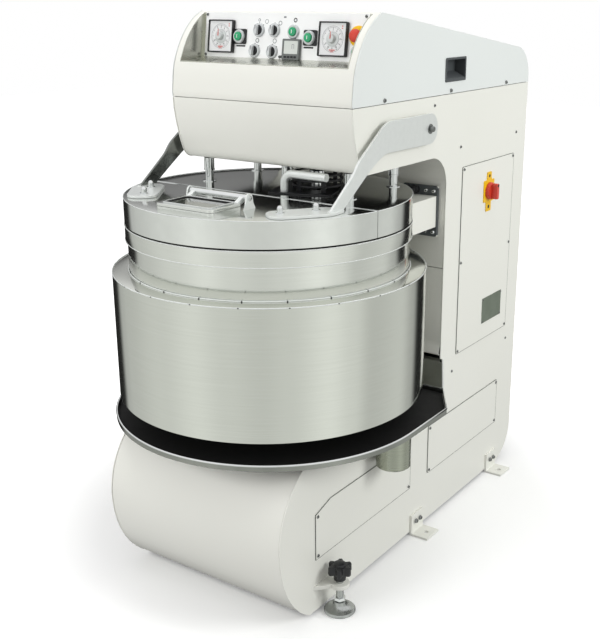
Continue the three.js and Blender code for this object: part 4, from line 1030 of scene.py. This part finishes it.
toolPieces()
guardPieces()
print("arms and tools done")


# Control panel, drawn in its own frame: u across, v up the panel, w out of it

lean = math.radians(hood["lean"])


def panelPlace(u, v, w):
    return (u, hood["panelY"] + v * math.sin(lean) - w * math.cos(lean),
            hood["panelZ"] + v * math.cos(lean) + w * math.sin(lean))


panelTurn = turnedTo(0, hood["panelY"], hood["panelZ"], math.pi / 2 - lean, "X")
facingPanel = (math.pi / 2 - lean, 0.0, 0.0)
panel = {
    "foil": (-294, 298, 1, 133, 3.0, 3.8), "face": 3.8,
    "buttons": {"left": (-156, 63), "reset": (42, 80), "right": (102, 64), "start": (265, 27)},
    "selectors": {"a": (-85, 83), "b": (-28, 83), "c": (-98, 23), "d": (-32, 22)},
    "timers": {"left": (-225, 62), "right": (186, 62)}, "stop": (266, 72),
    "display": (42, 30), "screws": [(-288, 126), (-288, 8), (288, 126), (-3, 8)],
}


def onPanel(name, outline, low, high, material, bevel=0.4, inner=None):
    shape = (framePrism(outline, inner, low, high, panelPlace) if inner
             else prism(outline, low, high, panelPlace))
    return mounted(finished(name, shape, material, bevel), "machine")


def turnedOnPanel(name, profile, place, material, owner, replaces=(), segments=48):
    at = panelTurn @ Matrix.Translation(Vector((*place, 0)) * mm)
    return mounted(turned(name, profile, (0, 0), material, segments, place=at), owner, replaces)


def stroke(uv, du, dv):
    return boxOutline(uv[0] - du / 2, uv[0] + du / 2, uv[1] - dv / 2, uv[1] + dv / 2)


def panelFace():
    p = panel
    uLow, uHigh, vLow, vHigh, low, high = p["foil"]
    onPanel("panel_foil", roundedBox(uLow, uHigh, vLow, vHigh, 3, 4), low, high, whiteFoil, 0.2)
    points = [panelPlace(u, v, high + 1.2) for u, v in p["screws"]]
    heads = screws("panel_screws", points, 4.6, 2.4, facingPanel, screwSteel, socketAndCrimpShade)
    mounted(heads, "machine")
    ink = high + 0.15
    marks = {
        "mark_bar_left": (stroke((-152, 36), 34, 4.5), blackInk),
        "mark_bar_right": (stroke((98, 37), 34, 4.5), blackInk),
        "mark_dot": (stroke((4, 9), 7, 7), blackInk), "mark_high": (stroke((8, 121), 9, 5), greyInk),
    }
    for name, (outline, material) in marks.items():
        onPanel(name, outline, high - 0.1, ink, material, 0)
    rings = {"ring_reset": (46, 113, 6.5, 3.6, blackInk), "ring_a": (-86, 112, 4.5, 2.6, greyInk),
             "ring_b": (-58, 108, 6.5, 5.0, greyInk), "ring_c": (-90, 53, 7, 4.4, greyInk),
             "ring_d": (-25, 53, 7, 5.2, greyInk), "ring_e": (-8, 104, 6.5, 4.6, greyInk)}
    for name, (u, v, outer, inner, material) in rings.items():
        onPanel(name, arc(u, v, outer, 0, 345, 23), high - 0.1, ink, material, 0, arc(u, v, inner, 0, 345, 23))
    for name, (u, v) in p["selectors"].items():
        for i, tick in enumerate(arc(u, v, 21, 45, 135, 2)):
            onPanel(f"selector_mark_{name}_{i + 1}", stroke(tick, 3, 3), high - 0.1, ink, blackInk, 0)


button = {"bore": 13.3, "bezel": 20.4, "lens": 12.6, "raised": {"left": 5, "right": 5}}
stop = {"stem": 10.2, "bore": 11.4, "collar": 29, "cap": 18.6}


def buttonPieces():
    face, b = panel["face"], button
    for name, (u, v) in panel["buttons"].items():
        lift = b["raised"].get(name, 0)
        if lift:
            # A black square under each raised button, reaching 4 mm further to the right than to the left.
            square = roundedBox(u - 21, u + 25, v - 22, v + 22, 4, 4)
            onPanel(f"button_black_square_{name}", square, face, face + lift, blackPlastic, 0.8, roundedBox(
                u - 13.6, u + 13.6, v - 13.6, v + 13.6, 13.5, 4))
        ring = [(b["bore"], face), (b["bezel"], face), (b["bezel"], face + lift + 3), (18, face + lift + 6.4),
                (15.4, face + lift + 6.4), (b["bore"], face + lift + 5)]
        turnedOnPanel(f"button_bezel_{name}", ring, (u, v), paleCap, "machine")
        top = face + lift + 10
        lens = [(0, 0.6), (b["lens"], 0.6), (b["lens"], top - 1)]
        lens += [(b["lens"] - 1.4 * (1 - math.cos(t)), top - 1 + 1.6 * math.sin(t)) for t in (0.4, 0.8, 1.2)]
        lens += [(7, top + 1.4), (0, top + 1.8)]
        turnedOnPanel(f"button_lens_{name}", lens, (u, v), greenLens, f"button_{name}",
                      [f"button_{name}"])
        bar = finished(f"button_sign_{name}", prism(stroke((u, v), 1.8, 10), top + 1.2, top + 2, panelPlace),
                       whiteFoil)
        mounted(bar, f"button_{name}")
    u, v = panel["stop"]
    bore, rim, cap = stop["bore"], stop["collar"], stop["cap"]
    collar = [(bore, face), (rim, face), (rim, face + 1.6), (rim - 4, face + 4), (bore, face + 4)]
    turnedOnPanel("stop_collar", collar, (u, v), yellowPlastic, "machine", segments=64)
    mushroom = [(0, 0.6), (stop["stem"], 0.6), (stop["stem"], face + 12), (16, face + 12.4),
                (cap - 0.4, face + 14), (cap, face + 18),
                (17.4, face + 22), (13.4, face + 25), (7, face + 27), (0, face + 27.6)]
    turnedOnPanel("stop_mushroom", mushroom, (u, v), redPlastic, "emergency_stop",
                  ["emergency_stop"], 64)


def selectorPieces():
    face = panel["face"]
    for name, (u, v) in panel["selectors"].items():
        ring = [(14.4, face), (20.4, face), (20.4, face + 3), (18.4, face + 6.4), (14.4, face + 6.4)]
        turnedOnPanel(f"selector_ring_{name}", ring, (u, v), paleCap, "machine")
        owner = f"selector_{name}"
        dial = [(0, 8.4), (14, 8.4), (14, 13), (12.8, 14.6), (0, 14.6)]
        turnedOnPanel(f"selector_dial_{name}", dial, (u, v), blackPlastic, owner, [owner])
        lever = prism(roundedBox(u - 4.6, u + 4.6, v - 13.4, v + 13.4, 3.5, 5), 14, 25, panelPlace)
        mounted(finished(f"selector_lever_{name}", lever, paleCap, 1.2), owner)
        line = prism(stroke((u, v + 7), 1.6, 11), 24.9, 25.3, panelPlace)
        mounted(finished(f"selector_line_{name}", line, blackInk), owner)


# A square timer: a deep black frame, a printed card with a scale, and a clear setting knob.
timer = {"half": 48, "frame": 3.8, "depth": 16.6, "card": 12.6, "scale": 33, "numbers": 10}


def numeral(text, size, place):
    curve = bpy.data.curves.new("digits", "FONT")
    curve.body = text
    curve.size = size * mm
    curve.extrude = 0.12 * mm
    curve.align_x = "CENTER"
    curve.align_y = "CENTER"
    carrier = showMesh("digits", curve)
    mesh = bpy.data.meshes.new_from_object(carrier.evaluated_get(bpy.context.evaluated_depsgraph_get()))
    bpy.data.objects.remove(carrier)
    mesh.transform(panelTurn @ Matrix.Translation(Vector(place) * mm))
    return mesh


def timerPieces():
    t = timer
    for name, (u, v) in panel["timers"].items():
        outer = roundedBox(u - t["half"], u + t["half"], v - t["half"], v + t["half"], 3, 4)
        inner = roundedBox(u - t["half"] + t["frame"], u + t["half"] - t["frame"], v - t["half"] + t["frame"],
                           v + t["half"] - t["frame"], 2, 4)
        shape = framePrism(outer, inner, 3.9, t["depth"], panelPlace)
        mounted(finished(f"timer_frame_{name}", shape, blackPlastic, 0.8), "machine",
                [f"timer_{name}"])
        card = prism(inner, 3.9, t["card"], panelPlace)
        mounted(finished(f"timer_card_{name}", card, dialWhite), "machine")
        place = panelPlace(u, v, t["card"] + 0.1)
        for kind, count, reach, bar in (("fine", 60, t["scale"] - 1, (2.4, 0.5, 0.3)),
                                        ("bold", 12, t["scale"] - 2, (4.6, 1.0, 0.34))):
            ticks = ringOfBars(f"timer_ticks_{kind}_{name}", count, reach, bar, 0.0, facingPanel, place,
                               blackInk)
            mounted(ticks, "machine")
        rim = boxOutline(35.4, 36.2, t["card"], t["card"] + 0.4)
        turnedOnPanel(f"timer_ring_{name}", rim, (u, v), greyInk, "machine")
        digits = bmesh.new()
        for k in range(t["numbers"]):
            angle = math.radians(120 - 30 * k)
            spot = (u + 25.5 * math.cos(angle), v + 25.5 * math.sin(angle), t["card"] + 0.2)
            digits.from_mesh(numeral(str(k * 3), 6.4, spot))
        mesh = bpy.data.meshes.new(f"timer_numbers_{name}")
        digits.to_mesh(mesh)
        digits.free()
        mesh.materials.append(blackInk)
        mounted(showMesh(f"timer_numbers_{name}", mesh), "machine")
        for i, (du, dv, width) in enumerate(((0, -30, 20), (0, -35, 12), (31, 36, 4), (31, 30, 4))):
            bar = prism(stroke((u + du, v + dv), width, 2.6), t["card"], t["card"] + 0.35, panelPlace)
            mounted(finished(f"timer_red_{name}_{i + 1}", bar, redInk), "machine")
        owner = f"timer_knob_{name}"
        knob = [(0, 13), (21, 13), (21, 14.2), (12.4, 15), (11, 24), (9.6, 25.4), (0, 25.8)]
        turnedOnPanel(f"timer_cap_{name}", knob, (u, v), clearCap, owner, [owner])
        hand = prism([(u - 1.6, v), (u + 1.6, v), (u + 0.6, v + 20), (u - 0.6, v + 20)], 25.6, 26.4, panelPlace)
        mounted(finished(f"timer_hand_{name}", hand, redInk), owner)


def displayPieces():
    u, v = panel["display"]
    face = panel["face"]
    outer = roundedBox(u - 31, u + 31, v - 29.5, v + 29.5, 3, 4)
    screen = roundedBox(u - 25, u + 25, v - 13, v + 24, 2, 4)
    lowPad = prism(outer, face, face + 8.8, panelPlace)
    mounted(finished("display_body", lowPad, bezelGrey, 1.2), "machine")
    onPanel("display_bezel", outer, face + 8.6, face + 10.6, bezelGrey, 0.8, screen)
    onPanel("display_screen", screen, face + 8.6, face + 9.4, paleScreen, 0.2)
    for i in range(4):
        spot = (u - 18 + 12 * i, v - 22)
        key = roundedBox(spot[0] - 4.4, spot[0] + 4.4, spot[1] - 3, spot[1] + 3, 1.4, 3)
        onPanel(f"display_key_{i + 1}", key, face + 10, face + 11.8, blackPlastic, 0.5)
    for i, (du, dv, width, height) in enumerate(((4, 8, 1.6, 12), (11, 8, 1.6, 12), (7.5, 14, 6, 1.6))):
        onPanel(f"display_segment_{i + 1}", stroke((u + du, v + dv), width, height), face + 9.3, face + 9.6,
                greyInk, 0)


panelFace()
buttonPieces()
selectorPieces()
timerPieces()
displayPieces()
print("control panel done")


# Doors, plates, screws and the main switch

covers = {
    "door": roundedBox(302, 701, 572, 1228, 6, 4),
    "rearPanel": roundedBox(119, 655, 190, 366, 6, 4),
    "frontPanel": [(-1, 184), (-1, 354), (-470, 354), (-547, 330), (-547, 184)],
}
fixings = {
    "door": [(311, 1219), (692, 1219), (692, 900), (311, 900), (691, 581), (311, 581)],
    "rearPanel": [(129, 356), (645, 356), (645, 200), (129, 200)],
    "frontPanel": [(-537, 322), (-537, 194), (-11, 194), (-11, 344)],
    "hood": [(-197, 1483), (202, 1483), (607, 1483)],
    "plate": [(99, 1445), (284, 1297), (714, 1301), (715, 517), (278, 517)],
}
switch = {"y": 502, "z": 1120, "radius": 30, "plate": (492, 648, 633, 727)}


def grownOutline(outline, distance):
    count = len(outline)
    result = []
    for i, point in enumerate(outline):
        here, before, after = Vector(point), Vector(outline[i - 1]), Vector(outline[(i + 1) % count])
        into, out = (here - before).normalized(), (after - here).normalized()
        normal = Vector((into.y + out.y, -into.x - out.x)).normalized()
        result.append(tuple(here + normal * distance / max(normal.dot(Vector((into.y, -into.x))), 0.3)))
    return result


def coverPieces():
    for side, sign in bothSides:
        place = lambda u, v, w: (sign * w, u, v)
        facing = facingRight if sign > 0 else facingLeft
        for name, outline in covers.items():
            if name == "frontPanel":
                outline = outline[::-1]
            seam = framePrism(grownOutline(outline, 0.5), grownOutline(outline, -1.1), 330.1, 332.5, place)
            mounted(finished(f"{name}_seam_{side}", seam, seamShade), "machine")
            if sign < 0:
                sheet = prism(outline, 330.3, 332.3, place)
                mounted(finished(f"{name}_left", sheet, bodyPaint, 0.5), "machine")
        for name, points in fixings.items():
            depth = {"hood": 330.9, "plate": 330.4}.get(name, 333.2)
            size = (6.5, 4) if name == "hood" else (5.4, 2.4)
            heads = screws(f"{name}_screws_{side}", [place(y, z, depth) for y, z in points], *size, facing,
                           screwSteel, socketAndCrimpShade)
            mounted(heads, "machine")


# The mains switch: a yellow plate with two tabs and a red turning handle, and a blank rating plate below.
def switchPieces():
    y, z = switch["y"], switch["z"]
    plate = [(y - 40, z - 38), (y - 19, z - 38), (y - 19, z - 72), (y + 19, z - 72), (y + 19, z - 38),
             (y + 40, z - 38), (y + 40, z + 38), (y + 17, z + 38), (y + 17, z + 66),
             (y - 17, z + 66), (y - 17, z + 38), (y - 40, z + 38)]
    shape = prism(softened(plate, 5, 3, closed=True), 332.4, 335.2, sidePlace)
    mounted(finished("switch_plate", shape, yellowPlastic, 0.5), "machine")
    for i, (dz, size) in enumerate(((52, 6), (-56, 7))):
        mark = prism(arc(y, z + dz, size, 0, 320, 8), 335.1, 335.4, sidePlace)
        mounted(finished(f"switch_sign_{i + 1}", mark, blackInk), "machine")
    place = turnedTo(335.5, y, z, math.pi / 2, "Y")
    r = switch["radius"]
    profile = [(0, 0), (r, 0), (r, 10), (r - 2, 13.5), (0, 14)]
    disc = turned("switch_disc", profile, (0, 0), redPlastic, 64, place=place)
    mounted(disc, "main_switch_knob", ["main_switch_knob"])
    handle = prism(softened(boxOutline(y - 9, y + 9, z - 27, z + 27), 5, 4, closed=True), 345, 370, sidePlace)
    mounted(finished("switch_handle", handle, redPlastic, 2), "main_switch_knob")
    notch = prism(boxOutline(y - 4, y + 4, z + 16, z + 25), 369, 370.4, sidePlace)
    mounted(finished("switch_notch", notch, blackInk), "main_switch_knob")
    yLow, yHigh, zLow, zHigh = switch["plate"]
    blank = prism(roundedBox(*switch["plate"], 2, 3), 332.4, 333.4, sidePlace)
    mounted(finished("rating_plate", blank, namePlate, 0.3), "machine")
    corners = [(333.6, v, w) for v in (yLow + 6, yHigh - 6) for w in (zLow + 6, zHigh - 6)]
    mounted(screws("rating_plate_rivets", corners, 4.2, 1.8, facingRight, screwSteel, socketAndCrimpShade),
            "machine")


coverPieces()
switchPieces()
print("doors and switch done")


# Feet, anchors, wheels and drives

jack = {"x": 378, "y": -490, "bracketLow": 85, "bracketHigh": 98, "lobes": 6, "pad": 47.4, "spindle": 11.5}
anchor = {"y": (8, 585), "width": 80}
wheel = {"x": 277, "z": 51, "y": {"front": -430, "rear": 560}}
drive = {"bowlPulley": 160, "bowlMotor": (0, 400), "bowlMotorPulley": 40, "bowlBelt": (224, 246),
         "spiralMotor": (spiral["x"], 330), "spiralMotorPulley": 45, "spiralBelt": (1404, 1426)}


def bracketPieces():
    for side, sign in bothSides:
        outline = [(329.5, -560), (366, -518)] + arc(jack["x"], jack["y"], 30, -110, 90, 24) + [(329.5, -460)]
        shape = prism([(sign * x, y) for x, y in outline], jack["bracketLow"], jack["bracketHigh"], planPlace)
        mounted(finished(f"jack_bracket_{side}", shape, bodyPaint, 1.6), "machine")
        for i, y in enumerate(anchor["y"]):
            w = anchor["width"]
            bend = softened([(400, 0), (329.8, 0), (329.8, 75)], 7, 5)
            bend = [(338, 75)] + softened([(338, 75), (338, 8), (400, 8)], 4, 4)[1:] + bend
            shape = prism([(sign * u, v) for u, v in bend], y, y + w, frontPlace)
            hole = prism(arc(sign * 373, y + w / 2, 9, 0, 345, 23), -5, 15, planPlace)
            piece = finished(f"floor_anchor_{side}_{i + 1}", combined(shape, hole), bodyPaint, 0.9)
            mounted(piece, "machine")
            points = [(sign * 340.5, y + 26, 47), (sign * 340.5, y + 54, 47)]
            facing = facingRight if sign > 0 else facingLeft
            bolts = screws(f"anchor_bolts_{side}_{i + 1}", points, 8.5, 6, facing, screwSteel, socketAndCrimpShade)
            mounted(bolts, "machine")


def jackPieces():
    j = jack
    for side, sign in bothSides:
        centre = (sign * j["x"], j["y"])
        p, stem = j["pad"], j["spindle"]
        foot = [(0, 0), (p - 2, 0), (p, 2), (p, 7), (p - 2, 10), (38, 12.4), (22, 17), (19, 21), (17, 24),
                (17, 34), (stem, 35), (stem, 150), (0, 150)]
        mounted(turned(f"jack_pad_{side}", foot, centre, footSteel, 64), f"jack_foot_{side}",
                [f"jack_foot_{side}"])
        nut = prism(arc(*centre, 18, 0, 300, 5), 38, 48, planPlace)
        mounted(finished(f"jack_nut_{side}", nut, chromed, 1.0), f"jack_foot_{side}")
        star = []
        for k in range(96):
            angle = 2 * math.pi * k / 96
            radius = 31.5 + 6 * math.tanh(1.6 * math.cos(j["lobes"] * angle)) / math.tanh(1.6)
            star.append((centre[0] + radius * math.cos(angle), centre[1] + radius * math.sin(angle)))
        head = finished(f"jack_star_{side}", prism(star, 127, 156, planPlace), blackPlastic, 5)
        mounted(head, f"jack_knob_{side}", [f"jack_knob_{side}"])
        hub = [(12.4, 108), (18, 108), (20, 127), (20, 156), (17, 162), (10, 165), (0, 166), (0, 152),
               (12.4, 152)]
        mounted(turned(f"jack_hub_{side}", hub, centre, blackPlastic, 48), f"jack_knob_{side}")


def wheelPieces():
    for place, y in wheel["y"].items():
        for side, sign in bothSides:
            owner = f"wheel_{place}_{side}"
            at = turnedTo(sign * wheel["x"], y, wheel["z"], math.pi / 2, "Y")
            tread = softened([
                (10.6, -14), (18, -15), (38, -12), (46, -15), (50, -12), (50, 12), (46, 15), (38, 12), (18, 15),
                (10.6, 14)], 2, 3, closed=True)
            mounted(turned(f"tread_{place}_{side}", tread, (0, 0), tireGrey, 64, place=at), owner,
                    [owner])


def beltLoop(name, near, far, low, high, owner):
    (ax, ay, ar), (bx, by, br) = near, far
    along = math.atan2(by - ay, bx - ax)
    spread = math.acos((ar - br) / math.hypot(bx - ax, by - ay))
    def loop(extra):
        first = [along + spread + (2 * math.pi - 2 * spread) * k / 40 for k in range(41)]
        second = [along - spread + 2 * spread * k / 24 for k in range(25)]
        return ([(ax + (ar + extra) * math.cos(t), ay + (ar + extra) * math.sin(t)) for t in first]
                + [(bx + (br + extra) * math.cos(t), by + (br + extra) * math.sin(t)) for t in second])
    shape = framePrism(loop(3.6), loop(0.3), low, high, planPlace)
    mounted(finished(name, shape, rubber, 0.4), owner)


def drivePieces():
    d = drive
    hub = [(30, 610), (110, 626), (110, 639.6), (0, 639.6)]
    pulley = turned("bowl_pulley", pulleyProfile(d["bowlPulley"], 30, 215, 40, 215, 610)[:-1] + hub,
                    bowl["centre"], armSteel, 96)
    mounted(pulley, "bowl", ["bowl_shaft"])
    for name, place, profile in (
            ("bowl", d["bowlMotor"], pulleyProfile(d["bowlMotorPulley"], 16, 215, 40, 215, 262.7)),
            ("spiral", d["spiralMotor"], pulleyProfile(d["spiralMotorPulley"], 19, 1395, 40, 1300.3, 1435))):
        owner = f"{name}_motor_pulley"
        mounted(turned(f"{name}_drive_pulley", profile, place, screwSteel, 48), owner, [owner])
    beltLoop("bowl_belt", (*bowl["centre"], d["bowlPulley"]), (*d["bowlMotor"], d["bowlMotorPulley"]),
             *d["bowlBelt"], "machine")
    beltLoop("spiral_belt", (spiral["x"], spiral["y"], spiral["pulley"]),
             (*d["spiralMotor"], d["spiralMotorPulley"]), *d["spiralBelt"], "machine")


bracketPieces()
jackPieces()
wheelPieces()
drivePieces()
print("feet and drives done")


# Finishes for the CAD pieces that keep their own shape

keptFinishes = {
    "base_frame": castGreyAndFlangeShade, "head_frame": castGreyAndFlangeShade, "bowl_motor": castGreyAndFlangeShade, "spiral_motor": castGreyAndFlangeShade,
    "lid_support_right": bodyPaint, "lid_support_left": bodyPaint, "door_right": bodyPaint,
    "lower_front_panel": bodyPaint, "lower_rear_panel": bodyPaint, "control_panel": panelSteel,
    "hatch_window": smokedGlass,
}
for node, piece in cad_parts.items():
    piece.data.materials.clear()
    piece.data.materials.append(keptFinishes.get(node, castGreyAndFlangeShade))
print("CAD finishes set")


# Floor, light and camera

def studioFloor():
    shape = bmesh.new()
    bmesh.ops.create_grid(shape, x_segments=1, y_segments=1, size=14)
    mesh = bpy.data.meshes.new("studioFloor")
    shape.to_mesh(mesh)
    shape.free()
    floor = showMesh("studioFloor", mesh)
    material, tree, shader = newMaterial("paintedStudioFloor", "#fbfbfb", 0.9)
    shader.inputs["Emission Color"].default_value = linear("#ffffff")
    reach = addNode(tree, "ShaderNodeVectorMath", {"operation": "LENGTH"}, {0: objectPoints(tree)})
    near, far = studio["floorNear"], studio["floorFar"]
    glow = addNode(tree, "ShaderNodeMapRange", {
        "From Min": near[0], "From Max": far[0], "To Min": near[1], "To Max": far[1]},
        {"Value": reach.outputs["Value"]})
    tree.links.new(glow.outputs[0], shader.inputs["Emission Strength"])
    mesh.materials.append(material)
    floor.visible_glossy = False
    floor.visible_diffuse = False


# World light: even and soft for the painted sheet, and upright bands of light and dark for the metal to mirror.
studio = {
    "floorNear": (0.8, 0.06), "floorFar": (1.4, 0.6), "overhead": 0.56, "below": 0.43, "mirrorTop": 1.05,
    "bands": [
        (0.0, 0.62), (0.12, 0.80), (0.20, 0.94), (0.262, 0.82), (0.335, 0.74), (0.385, 0.80),
        (0.47, 1.0), (0.52, 0.86), (0.565, 0.66), (0.65, 0.74), (0.70, 0.50), (0.728, 0.02),
        (0.86, 0.02), (0.955, 0.02), (0.985, 0.56),
    ],
    "lights": [
        # name, place, aim, size, power, colour
        ("keyFront", (-1.6, -4.6, 2.3), (0, -0.3, 1.1), 2.6, 100, "#ffffff"),
        ("sideRight", (4.4, 1.0, 2.6), (0.3, 0.3, 0.8), 2.4, 112, "#fdfffd"),
        ("overhead", (0.0, -0.6, 4.6), (0, 0, 0.6), 3.2, 50, "#ffffff"),
    ],
}


def studioWorld():
    world = bpy.data.worlds.new("softStudio")
    bpy.context.scene.world = world
    world.use_nodes = True
    tree = world.node_tree
    tree.nodes.clear()
    direction = addNode(tree, "ShaderNodeTexCoord").outputs["Generated"]
    parts = addNode(tree, "ShaderNodeSeparateXYZ", {}, {0: direction}).outputs
    turn = addNode(tree, "ShaderNodeMath", {"operation": "ARCTAN2"}, {0: parts["Y"], 1: parts["X"]})
    circle = addNode(tree, "ShaderNodeMath", {"operation": "DIVIDE"}, {0: turn, 1: 2 * math.pi})
    share = addNode(tree, "ShaderNodeMath", {"operation": "ADD"}, {0: circle, 1: 0.5})
    ramp = addNode(tree, "ShaderNodeValToRGB", {}, {"Fac": share})
    ramp.color_ramp.interpolation = "EASE"
    stops = ramp.color_ramp.elements
    while len(stops) > 1:
        stops.remove(stops[-1])
    for i, (place, level) in enumerate(studio["bands"]):
        stop = stops[0] if i == 0 else stops.new(place)
        stop.position = place
        stop.color = (level * 0.98, level, level * 0.96, 1)
    height = addNode(tree, "ShaderNodeMapRange", {"From Min": 0.12, "From Max": 0.42}, {"Value": parts["Z"]})
    mirror = addNode(tree, "ShaderNodeMix", {"data_type": "RGBA"}, {
        "Factor": height, 6: ramp.outputs["Color"], 7: (studio["mirrorTop"],) * 3 + (1,)})
    rise = addNode(tree, "ShaderNodeMapRange", {
        "From Min": -0.6, "From Max": 0.9, "To Min": studio["below"], "To Max": studio["overhead"]},
        {"Value": parts["Z"]})
    paths = addNode(tree, "ShaderNodeLightPath").outputs
    glossy = addNode(tree, "ShaderNodeBackground", {"Strength": 1.0}, {"Color": mirror.outputs[2]})
    soft = addNode(tree, "ShaderNodeBackground", {"Color": (1, 1, 1, 1)}, {"Strength": rise.outputs[0]})
    seen = addNode(tree, "ShaderNodeBackground", {"Color": (1, 1, 1, 1), "Strength": 1.0})
    first = addNode(tree, "ShaderNodeMixShader", {}, {0: paths["Is Glossy Ray"], 1: soft.outputs[0],
                                                      2: glossy.outputs[0]})
    second = addNode(tree, "ShaderNodeMixShader", {}, {0: paths["Is Camera Ray"], 1: first.outputs[0],
                                                       2: seen.outputs[0]})
    addNode(tree, "ShaderNodeOutputWorld", {}, {"Surface": second.outputs[0]})


def studioLights():
    for name, place, aim, size, power, colour in studio["lights"]:
        lamp = bpy.data.lights.new(name, "AREA")
        lamp.shape = "DISK"
        lamp.size = size
        lamp.energy = power
        lamp.color = linear(colour)[:3]
        light = bpy.data.objects.new(name, lamp)
        bpy.context.scene.collection.objects.link(light)
        light.location = place
        light.rotation_mode = "QUATERNION"
        light.rotation_quaternion = (Vector(aim) - Vector(place)).to_track_quat("-Z", "Y")
        light.visible_camera = False
        light.visible_glossy = False


view = {"place": (1.8268, -2.6419, 1.7568), "yaw": 33.925, "pitch": 17.434, "roll": 0.099, "lens": 56.105,
        "shiftX": -0.0637, "shiftY": -0.0121}


def studioCamera():
    lens = bpy.data.cameras.new("studioCamera")
    lens.lens = view["lens"]
    lens.sensor_width = 36
    lens.shift_x = view["shiftX"]
    lens.shift_y = view["shiftY"]
    lens.clip_end = 60
    camera = bpy.data.objects.new("studioCamera", lens)
    bpy.context.scene.collection.objects.link(camera)
    yaw, pitch, roll = (math.radians(view[key]) for key in ("yaw", "pitch", "roll"))
    aim = Matrix.Rotation(yaw, 4, "Z") @ Matrix.Rotation(math.pi / 2 - pitch, 4, "X")
    camera.matrix_world = Matrix.Translation(view["place"]) @ aim @ Matrix.Rotation(roll, 4, "Z")
    bpy.context.scene.camera = camera


studioFloor()
studioWorld()
studioLights()
studioCamera()
bpy.context.scene.view_settings.view_transform = "Standard"
print("studio ready")
